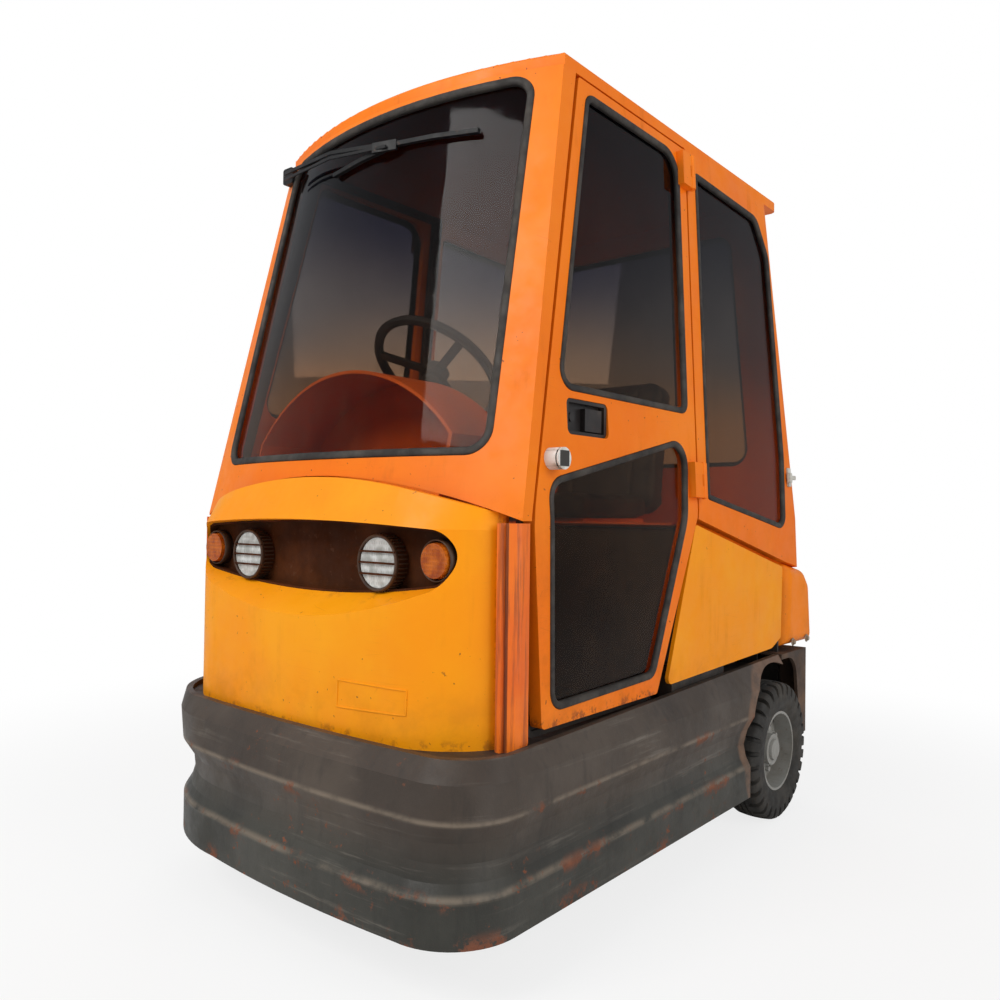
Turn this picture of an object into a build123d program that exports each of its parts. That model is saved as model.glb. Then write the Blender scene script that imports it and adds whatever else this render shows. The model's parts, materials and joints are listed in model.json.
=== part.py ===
from build123d import *
import os
from math import cos, radians, sin

# Electric tow tractor with a closed cab. Millimetres, front towards -Y, left side towards +X,
# ground at Z = 0. Left and right are the driver's.

os.makedirs("parts", exist_ok=True)

# Cab body: plan at the belt line and at the roof
BELT_Z = 905.0
ROOF_TOP_Z = 1950.0
BELT_HALF_WIDTH = 557.0
ROOF_HALF_WIDTH = 487.5
BELT_CORNER_Y = -690.0
ROOF_CORNER_Y = -467.0
BELT_FRONT_Y = -785.0
ROOF_FRONT_Y = -565.0
BELT_REAR_Y = 782.0
ROOF_REAR_Y = 667.0
REAR_CORNER_R = 45.0
TIGHTEST_R = 4.0
CAB_WALL = 30.0
ROOF_PLATE = 31.0
ROOF_EAVE = 75.0
PANEL_GAP = 8.0
RUN_GAP = 5.5
SEAT_GAP = 0.3
JAMB_LAP = 16.0
JAMB_LIP = 14.0
JAMB_THICK = 14.0
WELD_GAP = 0.05

# Deck and sill
DECK_TOP_Z = 440.0
DECK_PLATE = 10.0
NOSE_ARCH_SIDE_Z = 897.0
NOSE_ARCH_TOP_Z = 995.0

# Windows
GLASS_DEPTH = 9.0
GLASS_THICK = 6.0

# Bumper skirt
SKIRT_WALL = 16.0
SKIRT_REAR_Y = 610.0
SKIRT_TOP_FRONT_Z = 447.0
SKIRT_TOP_REAR_Z = 489.0
ARCH_R = 228.0
ARCH_CENTRE_Z = 238.0
WHEEL_HOLE_GROW = 43.0

# Wheels and axles
TYRE_R = 205.0
TYRE_WIDTH = 110.0
RIM_R = 117.0
RIM_WALL = 7.0
HUB_R = 46.0
SPINDLE_R = 20.0
SPINDLE_FIT = 0.08
REAR_AXLE_Y = 530.0
REAR_WHEEL_X = 547.0
FRONT_AXLE_Y = -500.0
FRONT_WHEEL_X = 395.0
KINGPIN_X = 310.0
KINGPIN_R = 14.0
KNUCKLE_HEIGHT = 96.0
FORK_PLATE = 20.0
STEER_ARM = 110.0
TIE_ROD_R = 9.0

# Nose and lamps
NOSE_WALL = 10.0
NOSE_HALF = 506.0
NOSE_FRONT_Y = -840.0
LAMP_X = 235.0
LAMP_Z = 805.0
LAMP_R = 60.0
LAMP_FACE_Y = -779.0
SIGNAL_X = 396.0
SIGNAL_Z = 816.0
SIGNAL_R = 40.0
RECESS_DEPTH = 95.0
FUNNEL_DEPTH = 70.0
FUNNEL_WALL = 8.0
COLLAR = 16.0
LAMP_BOX_WALL = 5.0

# Battery bay under the seat
BAY_WALL = 8.0
BAY_HALF = 507.4
PANEL_BACK_X = 546.9
BATTERY_HALF = 415.0
BATTERY_FRONT_Y = 40.0
BATTERY_REAR_Y = 610.0
BATTERY_TOP_Z = 720.0

# Steering column
STEER_CENTRE = (0.0, -360.0, 1290.0)
STEER_RAKE = 40.0
STEER_RIM_R = 176.0
STEER_GRIP_R = 13.0
COLUMN_R = 24.0

# Tow coupling
COUPLING_PIN_R = 12.5
COUPLING_PIN_Y = 885.0
JAW_REACH_Y = 930.0
JAW_PLATE = 18.0
JAW_GAP = 56.0
JAW_MID_Z = 300.0
JAW_HALF = 62.0
BULKHEAD_FRONT_Y = 800.0
BULKHEAD_PLATE = 25.0
BULKHEAD_TOP_Z = 485.5
BULKHEAD_HALF = 480.0

# Door hinges: a leaning pin line just outside the door's rear edge
HINGE_LOW = (72.0, 1005.0)
HINGE_HIGH = (98.0, 1845.0)
HINGE_PROUD = 15.0
KNUCKLE_R = 10.5
HINGE_PIN_R = 5.0
HINGE_PIN_FIT = 0.08
HINGE_LENGTH = 92.0

# Side views as (y, z) with a corner radius each
DOOR_OUTLINE = (
    # y, z, radius
    (-620.0, 474.0, 12.0),
    (-652.0, 905.0, 200.0),
    (-416.0, 1912.0, 8.0),
    (95.0, 1912.0, 14.0),
    (61.0, 915.0, 70.0),
    (-150.0, 476.0, 12.0),
)
DOOR_UPPER_WINDOW = (
    (-553.0, 1180.0, 45.0),
    (-388.0, 1888.0, 38.0),
    (55.0, 1888.0, 75.0),
    (30.0, 1178.0, 32.0),
)
DOOR_LOWER_WINDOW = (
    (-592.0, 504.0, 42.0),
    (-600.0, 985.0, 55.0),
    (22.0, 1120.0, 62.0),
    (0.0, 900.0, 220.0),
    (-165.0, 516.0, 42.0),
)
SIDE_WINDOW = (
    (122.0, 957.0, 14.0),
    (147.0, 1868.0, 14.0),
    (560.0, 1855.0, 60.0),
    (640.0, 1745.0, 90.0),
    (672.0, 1100.0, 300.0),
    (654.0, 868.0, 42.0),
)
# Front and rear views as (x, z) with a corner radius each
WINDSCREEN = (
    (-470.0, 1033.0, 55.0),
    (-434.0, 1907.0, 62.0),
    (434.0, 1907.0, 62.0),
    (470.0, 1033.0, 55.0),
)
REAR_WINDOW = (
    (-400.0, 1080.0, 60.0),
    (-365.0, 1850.0, 60.0),
    (365.0, 1850.0, 60.0),
    (400.0, 1080.0, 60.0),
)
CAB_SIDE_LOWER = ((48.0, 907.0), (660.0, 769.0), (870.0, 730.0))
SIDE_PANEL = (
    (-100.0, 488.0, 16.0),
    (48.0, 889.0, 10.0),
    (640.0, 753.0, 10.0),
    (630.0, 532.0, 10.0),
    (560.0, 506.0, 60.0),
)
REAR_BODY = (
    (664.0, 496.0, 8.0),
    (682.0, 764.4, 8.0),
    (838.0, 735.4, 40.0),
    (884.0, 690.0, 60.0),
    (908.0, 494.0, 6.0),
)

# Bumper skirt: its plan at each height
SKIRT_LEVELS = (
    # z, front y, half width, left corner radius, right corner radius
    (122.0, -930.0, 602.5, 158.0, 440.0),
    (208.0, -930.0, 602.5, 158.0, 440.0),
    (236.0, -914.0, 588.0, 150.0, 430.0),
    (268.0, -905.0, 581.0, 146.0, 425.0),
    (308.0, -908.0, 588.0, 148.0, 430.0),
    (343.0, -917.0, 602.5, 152.0, 400.0),
    (412.0, -898.0, 595.0, 146.0, 330.0),
    (495.0, -818.0, 550.0, 118.0, 150.0),
)
SKIRT_BOW = 14.0

# Nose panel: its plan at each height
NOSE_LEVELS = (
    # z, front y
    (440.0, -840.0),
    (880.0, -838.0),
    (1000.0, -775.0),
)


def leaning(z, at_belt, at_roof):
    share = (max(z, BELT_Z) - BELT_Z) / (ROOF_TOP_Z - BELT_Z)
    return at_belt + (at_roof - at_belt) * share


def rear_wall_y(z):
    return BELT_REAR_Y + (ROOF_REAR_Y - BELT_REAR_Y) * (z - BELT_Z) / (ROOF_TOP_Z - BELT_Z)


def side_x(z):
    return leaning(z, BELT_HALF_WIDTH, ROOF_HALF_WIDTH)


def front_y(x, z):
    corner = leaning(z, BELT_CORNER_Y, ROOF_CORNER_Y)
    middle = leaning(z, BELT_FRONT_Y, ROOF_FRONT_Y)
    return middle + (corner - middle) * (x / side_x(z)) ** 2


def cab_plan(z, inset):
    half = side_x(z) - inset
    corner = leaning(z, BELT_CORNER_Y, ROOF_CORNER_Y) + inset
    middle = leaning(z, BELT_FRONT_Y, ROOF_FRONT_Y) + inset
    rear = rear_wall_y(z) - inset
    turn = max(REAR_CORNER_R - inset, TIGHTEST_R)
    mid_turn = turn * (1 - cos(radians(45)))
    with BuildSketch(Plane.XY.offset(z)) as plan:
        with BuildLine():
            ThreePointArc((-half, corner), (0, middle), (half, corner))
            Line((half, corner), (half, rear - turn))
            ThreePointArc((half, rear - turn), (half - mid_turn, rear - mid_turn), (half - turn, rear))
            Line((half - turn, rear), (turn - half, rear))
            ThreePointArc((turn - half, rear), (mid_turn - half, rear - mid_turn), (-half, rear - turn))
            Line((-half, rear - turn), (-half, corner))
        make_face()
    return plan.sketch


def cab_volume(inset):
    with BuildPart() as volume:
        for low, high in ((DECK_TOP_Z, BELT_Z), (BELT_Z, ROOF_TOP_Z)):
            loft([cab_plan(low, inset), cab_plan(high, inset)], ruled=True)
    return volume.part


def cab_skin(outer_inset, inner_inset):
    with BuildPart() as skin:
        add(cab_volume(outer_inset))
        add(cab_volume(inner_inset), mode=Mode.SUBTRACT)
    return skin.part


def outline(plane, table, grow=0.0):
    points = [(row[0], row[1]) for row in table]
    radii = [row[2] for row in table]
    with BuildSketch(plane) as region:
        with BuildLine():
            FilletPolyline(*points, radius=radii, close=True)
        make_face()
        if grow:
            offset(amount=grow)
    return region.sketch


def side_cutter(table, grow=0.0):
    with BuildPart() as cutter:
        extrude(outline(Plane.YZ.offset(CAB_WALL), table, grow), amount=2 * BELT_HALF_WIDTH)
    return cutter.part


def face_cutter(table, start_y, end_y, grow=0.0):
    with BuildPart() as cutter:
        extrude(outline(Plane.XZ.offset(-start_y), table, grow), amount=start_y - end_y)
    return cutter.part


def side_slab(outer_inset, inner_inset):
    with BuildPart() as slab:
        with BuildSketch(Plane.XZ.offset(-CUT / 2)):
            with BuildLine():
                Polyline(
                    (BELT_HALF_WIDTH - outer_inset, DECK_TOP_Z), (BELT_HALF_WIDTH - outer_inset, BELT_Z),
                    (ROOF_HALF_WIDTH - outer_inset, ROOF_TOP_Z), (ROOF_HALF_WIDTH - inner_inset, ROOF_TOP_Z),
                    (BELT_HALF_WIDTH - inner_inset, BELT_Z), (BELT_HALF_WIDTH - inner_inset, DECK_TOP_Z),
                    close=True,
                )
            make_face()
        extrude(amount=CUT)
    return slab.part


def side_piece(slab, table, grow=0.0, hole=None, hole_grow=0.0):
    with BuildPart() as piece:
        add(slab)
        add(side_cutter(table, grow), mode=Mode.INTERSECT)
        if hole:
            add(side_cutter(hole, hole_grow), mode=Mode.SUBTRACT)
    return piece.part


# Cab shells and side slabs at their depths from the outer face
CUT = 2000.0
ROOF_UNDER_Z = ROOF_TOP_Z - ROOF_PLATE
SHELL = cab_skin(0.0, CAB_WALL)
GLASS_SHELL = cab_skin(GLASS_DEPTH, GLASS_DEPTH + GLASS_THICK)
CAB_OUTSIDE = cab_volume(0.0)
DOOR_SLAB = side_slab(0.0, CAB_WALL)
GLASS_SLAB = side_slab(GLASS_DEPTH, GLASS_DEPTH + GLASS_THICK)
JAMB_STEP = side_slab(CAB_WALL, CAB_WALL + RUN_GAP)
JAMB_SLAB = side_slab(CAB_WALL + RUN_GAP, CAB_WALL + RUN_GAP + JAMB_THICK)


# Cab front: pillars, header and the panel under the windscreen
with BuildPart() as cab_front:
    add(SHELL)
    with BuildSketch(Plane.YZ):
        with BuildLine():
            Polyline(
                (-CUT, BELT_Z - 20), (-652.0 - PANEL_GAP, BELT_Z - 20), (-652.0 - PANEL_GAP, BELT_Z),
                (-416.0 - PANEL_GAP - 2, ROOF_UNDER_Z), (-CUT, ROOF_UNDER_Z), close=True,
            )
        make_face()
    extrude(amount=CUT, both=True, mode=Mode.INTERSECT)
    with BuildSketch(Plane.XZ):
        with BuildLine():
            ThreePointArc(
                (-BELT_HALF_WIDTH - 5, NOSE_ARCH_SIDE_Z), (0, NOSE_ARCH_TOP_Z),
                (BELT_HALF_WIDTH + 5, NOSE_ARCH_SIDE_Z),
            )
            Polyline(
                (BELT_HALF_WIDTH + 5, NOSE_ARCH_SIDE_Z), (BELT_HALF_WIDTH + 5, 0),
                (-BELT_HALF_WIDTH - 5, 0), (-BELT_HALF_WIDTH - 5, NOSE_ARCH_SIDE_Z),
            )
        make_face()
    extrude(amount=CUT, mode=Mode.SUBTRACT)
    add(face_cutter(WINDSCREEN, -300.0, -CUT), mode=Mode.SUBTRACT)
cab_front.part.label = "cab_front"
export_step(cab_front.part, "parts/cab_front.step")

with BuildPart() as windscreen:
    add(GLASS_SHELL)
    add(face_cutter(WINDSCREEN, -300.0, -CUT), mode=Mode.INTERSECT)
windscreen.part.label = "windscreen"
export_step(windscreen.part, "parts/windscreen.step")

# Roof plate with a short eave behind the rear wall
with BuildPart() as roof:
    with BuildSketch(Plane.XY.offset(ROOF_UNDER_Z)):
        with BuildLine():
            ThreePointArc((-ROOF_HALF_WIDTH, ROOF_CORNER_Y), (0, ROOF_FRONT_Y), (ROOF_HALF_WIDTH, ROOF_CORNER_Y))
            Polyline(
                (ROOF_HALF_WIDTH, ROOF_CORNER_Y), (ROOF_HALF_WIDTH, ROOF_REAR_Y + ROOF_EAVE),
                (-ROOF_HALF_WIDTH, ROOF_REAR_Y + ROOF_EAVE), (-ROOF_HALF_WIDTH, ROOF_CORNER_Y),
            )
        make_face()
    extrude(amount=ROOF_PLATE)
    fillet(roof.edges().filter_by(Axis.Z).group_by(Axis.Y)[-1], radius=22.0)
    fillet(roof.faces().sort_by(Axis.Z)[-1].edges(), radius=6.0)
roof.part.label = "roof"
export_step(roof.part, "parts/roof.step")

# Cab sides behind the doors, and the rear wall between them
DOOR_REGION = side_cutter(DOOR_OUTLINE, PANEL_GAP)
REAR_SPLIT_Y = 690.0


def cab_quarter():
    with BuildPart() as quarter:
        add(SHELL)
        with BuildSketch(Plane.YZ):
            with BuildLine():
                Polyline(
                    CAB_SIDE_LOWER[0], CAB_SIDE_LOWER[1], CAB_SIDE_LOWER[2],
                    (CAB_SIDE_LOWER[2][0], ROOF_UNDER_Z), (CAB_SIDE_LOWER[0][0], ROOF_UNDER_Z), close=True,
                )
            make_face()
        extrude(amount=CUT, mode=Mode.INTERSECT)
        add(DOOR_REGION, mode=Mode.SUBTRACT)
        add(side_cutter(SIDE_WINDOW), mode=Mode.SUBTRACT)
        split(bisect_by=Plane.YZ.offset(side_x(ROOF_TOP_Z) - REAR_CORNER_R - 12.0), keep=Keep.TOP)
    return quarter.part


with BuildPart() as cab_rear:
    add(SHELL)
    with BuildSketch(Plane.YZ):
        with BuildLine():
            Polyline(
                (600.0, 760.0), CAB_SIDE_LOWER[1], CAB_SIDE_LOWER[2],
                (CAB_SIDE_LOWER[2][0], ROOF_UNDER_Z), (600.0, ROOF_UNDER_Z), close=True,
            )
        make_face()
    extrude(amount=side_x(ROOF_TOP_Z) - REAR_CORNER_R - 12.0 - WELD_GAP, both=True, mode=Mode.INTERSECT)
    add(face_cutter(REAR_WINDOW, CUT, 300.0), mode=Mode.SUBTRACT)
cab_rear.part.label = "cab_rear"
export_step(cab_rear.part, "parts/cab_rear.step")

with BuildPart() as cab_glass:
    add(side_piece(GLASS_SLAB, SIDE_WINDOW))
    mirror(about=Plane.YZ)
    add(GLASS_SHELL.intersect(face_cutter(REAR_WINDOW, CUT, 300.0)))
cab_glass.part.label = "cab_glass"
export_step(cab_glass.part, "parts/cab_glass.step")

# Rebate that each door closes against
with BuildPart() as door_rebates:
    add(side_piece(JAMB_SLAB, DOOR_OUTLINE, PANEL_GAP + JAMB_LIP, DOOR_OUTLINE, -JAMB_LAP))
    add(side_piece(JAMB_STEP, DOOR_OUTLINE, PANEL_GAP + JAMB_LIP, DOOR_OUTLINE, PANEL_GAP))
    with BuildSketch(Plane.XY.offset(DECK_TOP_Z)):
        Rectangle(2 * CUT, 2 * CUT)
    extrude(amount=ROOF_UNDER_Z - DECK_TOP_Z, mode=Mode.INTERSECT)
    add(cab_front.part, mode=Mode.SUBTRACT)


def hinge_point(row):
    return (side_x(row[1]) + HINGE_PROUD, row[0], row[1])


HINGE_AXIS = Vector(*hinge_point(HINGE_HIGH)) - Vector(*hinge_point(HINGE_LOW))
HINGE_PLANES = [
    Plane(origin=hinge_point(row), x_dir=(0, 1, 0), z_dir=HINGE_AXIS) for row in (HINGE_LOW, HINGE_HIGH)
]
THIRD = HINGE_LENGTH / 3

# Cab sides behind the doors, each with the fixed hinge leaves and their pins
with BuildPart() as hinge_mounts:
    for plane in HINGE_PLANES:
        with BuildSketch(plane.offset(-THIRD / 2)):
            Circle(KNUCKLE_R)
            with Locations((14.0, 10.0)):
                Rectangle(28.0, 12.0)
        extrude(amount=THIRD)
        with BuildSketch(plane.offset(-HINGE_LENGTH / 2 - 3.0)):
            Circle(HINGE_PIN_R)
        extrude(amount=HINGE_LENGTH + 6.0)
    add(CAB_OUTSIDE, mode=Mode.SUBTRACT)
with BuildPart() as cab_sides:
    add(cab_quarter())
    add(hinge_mounts.part)
    mirror(about=Plane.YZ)
cab_sides.part.label = "cab_sides"
export_step(cab_sides.part, "parts/cab_sides.step")

# Doors: a panel with two windows and the moving hinge leaves, on a leaning pin line at the rear edge
HANDLE = ((-522.0, 1085.0, 14.0), (-522.0, 1164.0, 14.0), (-360.0, 1164.0, 14.0), (-360.0, 1085.0, 14.0))
HANDLE_CENTRE = (-441.0, 1124.5)
HANDLE_FLOOR_X = side_x(HANDLE_CENTRE[1]) - 22.0
with BuildPart() as door_leaf:
    for plane in HINGE_PLANES:
        with BuildSketch(plane.offset(-HINGE_LENGTH / 2)):
            Circle(KNUCKLE_R)
            with Locations((-28.0, 5.0)):
                Rectangle(56.0, 22.0)
        extrude(amount=HINGE_LENGTH)
        with BuildSketch(plane.offset(-THIRD / 2 - SEAT_GAP)):
            with Locations((14.0, 0)):
                Rectangle(60.0, 50.0)
        extrude(amount=THIRD + 2 * SEAT_GAP, mode=Mode.SUBTRACT)
        with BuildSketch(plane.offset(-HINGE_LENGTH)):
            Circle(HINGE_PIN_R + HINGE_PIN_FIT)
        extrude(amount=2 * HINGE_LENGTH, mode=Mode.SUBTRACT)
    add(CAB_OUTSIDE, mode=Mode.SUBTRACT)
with BuildPart() as door_left:
    add(side_piece(DOOR_SLAB, DOOR_OUTLINE))
    add(side_cutter(DOOR_UPPER_WINDOW), mode=Mode.SUBTRACT)
    add(side_cutter(DOOR_LOWER_WINDOW), mode=Mode.SUBTRACT)
    extrude(outline(Plane.YZ.offset(HANDLE_FLOOR_X), HANDLE), amount=60.0, mode=Mode.SUBTRACT)
    add(door_leaf.part)
door_left.part.label = "door_left"
export_step(door_left.part, "parts/door_left.step")

with BuildPart() as door_glass_left:
    for table in (DOOR_UPPER_WINDOW, DOOR_LOWER_WINDOW):
        add(side_piece(GLASS_SLAB, table))
door_glass_left.part.label = "door_glass_left"
export_step(door_glass_left.part, "parts/door_glass_left.step")


# Handle paddle in its recess, and the rubber stop on the door's face
with BuildPart() as door_fittings_left:
    with BuildSketch(Plane.YZ.offset(side_x(1030.0) - 20.0)):
        with Locations((-588.0, 1028.0)):
            Circle(23.0)
    extrude(amount=56.0)
    with BuildSketch(Plane.YZ.offset(side_x(1030.0) + 28.0)):
        with Locations((-588.0, 1028.0)):
            Circle(23.0)
            Circle(16.0, mode=Mode.SUBTRACT)
    extrude(amount=4.0, mode=Mode.SUBTRACT)
    add(CAB_OUTSIDE, mode=Mode.SUBTRACT)
    with BuildSketch(Plane.YZ.offset(HANDLE_FLOOR_X + WELD_GAP)):
        with Locations(HANDLE_CENTRE):
            RectangleRounded(160.0, 77.0, 13.0)
            Rectangle(140.0, 62.0, mode=Mode.SUBTRACT)
    extrude(amount=18.0)
    with BuildSketch(Plane.YZ.offset(HANDLE_FLOOR_X + WELD_GAP)):
        with Locations(HANDLE_CENTRE):
            Rectangle(140.0, 62.0)
    extrude(amount=3.0)
    with BuildSketch(Plane.YZ.offset(HANDLE_FLOOR_X + 2.0)):
        with Locations((-412.0, 1122.0)):
            Rectangle(66.0, 50.0)
        with Locations((-495.0, 1124.0)):
            Circle(10.0)
    extrude(amount=14.0)
door_fittings_left.part.label = "door_fittings_left"
export_step(door_fittings_left.part, "parts/door_fittings_left.step")

for name, source in (
    ("door_right", door_left), ("door_glass_right", door_glass_left), ("door_fittings_right", door_fittings_left),
):
    with BuildPart() as opposite:
        add(mirror(source.part, about=Plane.YZ, mode=Mode.PRIVATE))
    opposite.part.label = name
    export_step(opposite.part, f"parts/{name}.step")


# Bumper skirt
def skirt_level(z):
    for low, high in zip(SKIRT_LEVELS, SKIRT_LEVELS[1:]):
        if low[0] <= z <= high[0]:
            share = (z - low[0]) / (high[0] - low[0])
            return tuple(a + (b - a) * share for a, b in zip(low, high))
    return SKIRT_LEVELS[-1]


def skirt_plan(level, inset, rear):
    z, front, half, left, right = level
    front = front + inset
    half = half - inset
    left = left - inset
    right = right - inset
    start = front + SKIRT_BOW
    left_bend = left * (1 - cos(radians(45)))
    right_bend = right * (1 - cos(radians(45)))
    with BuildSketch(Plane.XY.offset(z)) as plan:
        with BuildLine():
            ThreePointArc((right - half, start), ((right - left) / 2, front), (half - left, start))
            ThreePointArc((half - left, start), (half - left_bend, start + left_bend), (half, start + left))
            Polyline((half, start + left), (half, rear), (-half, rear), (-half, start + right))
            ThreePointArc((-half, start + right), (right_bend - half, start + right_bend), (right - half, start))
        make_face()
    return plan.sketch


with BuildPart() as skirt_inside:
    for low, high in zip(SKIRT_LEVELS, SKIRT_LEVELS[1:]):
        loft([skirt_plan(level, SKIRT_WALL, SKIRT_REAR_Y + 50) for level in (low, high)], ruled=True)
    extrude(skirt_plan(SKIRT_LEVELS[0], SKIRT_WALL, SKIRT_REAR_Y + 50), amount=-20.0)

with BuildPart() as bumper_skirt:
    for low, high in zip(SKIRT_LEVELS, SKIRT_LEVELS[1:]):
        loft([skirt_plan(level, 0.0, SKIRT_REAR_Y) for level in (low, high)], ruled=True)
    add(skirt_inside.part, mode=Mode.SUBTRACT)
    with BuildSketch(Plane.YZ):
        with BuildLine():
            Polyline(
                (-CUT, SKIRT_TOP_FRONT_Z), (SKIRT_LEVELS[0][1], SKIRT_TOP_FRONT_Z), (CUT / 2, SKIRT_TOP_REAR_Z),
                (CUT / 2, CUT), (-CUT, CUT), close=True,
            )
        make_face()
        with Locations((REAR_AXLE_Y, ARCH_CENTRE_Z)):
            Circle(ARCH_R)
        with Locations((REAR_AXLE_Y, 0)):
            Rectangle(2 * ARCH_R, 2 * ARCH_CENTRE_Z)
    extrude(amount=CUT, both=True, mode=Mode.SUBTRACT)
bumper_skirt.part.label = "bumper_skirt"
export_step(bumper_skirt.part, "parts/bumper_skirt.step")

# Door jambs: the rebates and the posts beside the nose, whose feet stand inside the skirt
POST_TOP_Z = NOSE_ARCH_SIDE_Z - 3.0
POST_FOOT_Z = DECK_TOP_Z + 16.0
POST_OUTLINE = (
    # x, y
    (510.0, -712.0), (522.0, -712.0), (526.0, -703.0), (534.0, -703.0), (538.0, -709.0), (551.0, -700.0),
    (556.0, -690.0), (556.0, -664.0), (527.0, -664.0), (527.0, -676.0), (510.0, -676.0),
)
with BuildPart() as door_jambs:
    with BuildSketch(Plane.XY.offset(DECK_TOP_Z)):
        with BuildLine():
            Polyline(*POST_OUTLINE, close=True)
        make_face()
    extrude(amount=POST_TOP_Z - DECK_TOP_Z)
    add(door_rebates.part)
    mirror(about=Plane.YZ)
    with BuildSketch(Plane.XY.offset(DECK_TOP_Z)):
        Rectangle(2 * BELT_HALF_WIDTH, 4 * BELT_HALF_WIDTH)
        add(skirt_plan(skirt_level(POST_FOOT_Z), SKIRT_WALL + SEAT_GAP, BELT_REAR_Y), mode=Mode.SUBTRACT)
    extrude(amount=POST_FOOT_Z - DECK_TOP_Z, mode=Mode.SUBTRACT)
door_jambs.part.label = "door_jambs"
export_step(door_jambs.part, "parts/door_jambs.step")

# Deck plate inside the skirt, with room for the rear wheels
REAR_TYRE_INNER_X = REAR_WHEEL_X - TYRE_WIDTH / 2
with BuildPart() as deck:
    extrude(skirt_plan(skirt_level(DECK_TOP_Z), SKIRT_WALL + SEAT_GAP, BULKHEAD_FRONT_Y), amount=-DECK_PLATE)
    with BuildSketch(Plane.XY.offset(DECK_TOP_Z)):
        for side in (-1, 1):
            with Locations((side * BELT_HALF_WIDTH, REAR_AXLE_Y)):
                Rectangle(2 * (BELT_HALF_WIDTH - REAR_TYRE_INNER_X + 12.0), 2 * (ARCH_R + WHEEL_HOLE_GROW))
    extrude(amount=-DECK_PLATE, mode=Mode.SUBTRACT)
# Chassis: side plates, front spine, cross plates and the rear bulkhead
RAIL_X = 395.0
RAIL_PLATE = 14.0
RAIL_LOW_Z = 165.0
SPINE_X = 160.0
SPINE_REAR_Y = -235.0
SPINE_FRONT_Y = -835.0
AXLE_BEAM_TOP_Z = 250.0
CHASSIS_TOP_Z = DECK_TOP_Z - DECK_PLATE
AXLE_TUBE_R = 52.0
with BuildPart() as chassis_frame:
    add(deck.part)
    for side in (-1, 1):
        with BuildSketch(Plane.YZ.offset(side * RAIL_X - RAIL_PLATE / 2)):
            with BuildLine():
                Polyline(
                    (SPINE_REAR_Y, CHASSIS_TOP_Z), (BULKHEAD_FRONT_Y, CHASSIS_TOP_Z), (BULKHEAD_FRONT_Y, RAIL_LOW_Z + 30),
                    (BULKHEAD_FRONT_Y - 60, RAIL_LOW_Z), (SPINE_REAR_Y + 40, RAIL_LOW_Z),
                    (SPINE_REAR_Y, RAIL_LOW_Z + 40), close=True,
                )
            make_face()
            with Locations((REAR_AXLE_Y, TYRE_R)):
                Circle(AXLE_TUBE_R + SEAT_GAP, mode=Mode.SUBTRACT)
            with Locations((REAR_AXLE_Y, 0)):
                Rectangle(2 * (AXLE_TUBE_R + SEAT_GAP), 2 * TYRE_R, mode=Mode.SUBTRACT)
        extrude(amount=RAIL_PLATE)
        with BuildSketch(Plane.YZ.offset(side * SPINE_X - RAIL_PLATE / 2)):
            with BuildLine():
                Polyline(
                    (SPINE_FRONT_Y, CHASSIS_TOP_Z), (SPINE_REAR_Y, CHASSIS_TOP_Z), (SPINE_REAR_Y, RAIL_LOW_Z + 30),
                    (SPINE_REAR_Y - 130, AXLE_BEAM_TOP_Z), (FRONT_AXLE_Y - 90, AXLE_BEAM_TOP_Z),
                    (SPINE_FRONT_Y, AXLE_BEAM_TOP_Z + 60), close=True,
                )
            make_face()
        extrude(amount=RAIL_PLATE)
    with BuildSketch(Plane.XY.offset(RAIL_LOW_Z + 40)):
        with Locations((0, SPINE_REAR_Y + RAIL_PLATE / 2)):
            Rectangle(2 * RAIL_X + RAIL_PLATE, RAIL_PLATE)
    extrude(amount=CHASSIS_TOP_Z - RAIL_LOW_Z - 40)
    with BuildSketch(Plane.XY.offset(AXLE_BEAM_TOP_Z + 60)):
        with Locations((0, SPINE_FRONT_Y + RAIL_PLATE / 2)):
            Rectangle(2 * SPINE_X + RAIL_PLATE, RAIL_PLATE)
    extrude(amount=CHASSIS_TOP_Z - AXLE_BEAM_TOP_Z - 60)
    with BuildSketch(Plane.XZ.offset(-BULKHEAD_FRONT_Y - BULKHEAD_PLATE)):
        with Locations((0, (RAIL_LOW_Z + BULKHEAD_TOP_Z) / 2)):
            Rectangle(2 * BULKHEAD_HALF, BULKHEAD_TOP_Z - RAIL_LOW_Z)
    extrude(amount=BULKHEAD_PLATE)
chassis_frame.part.label = "chassis_frame"
export_step(chassis_frame.part, "parts/chassis_frame.step")

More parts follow.
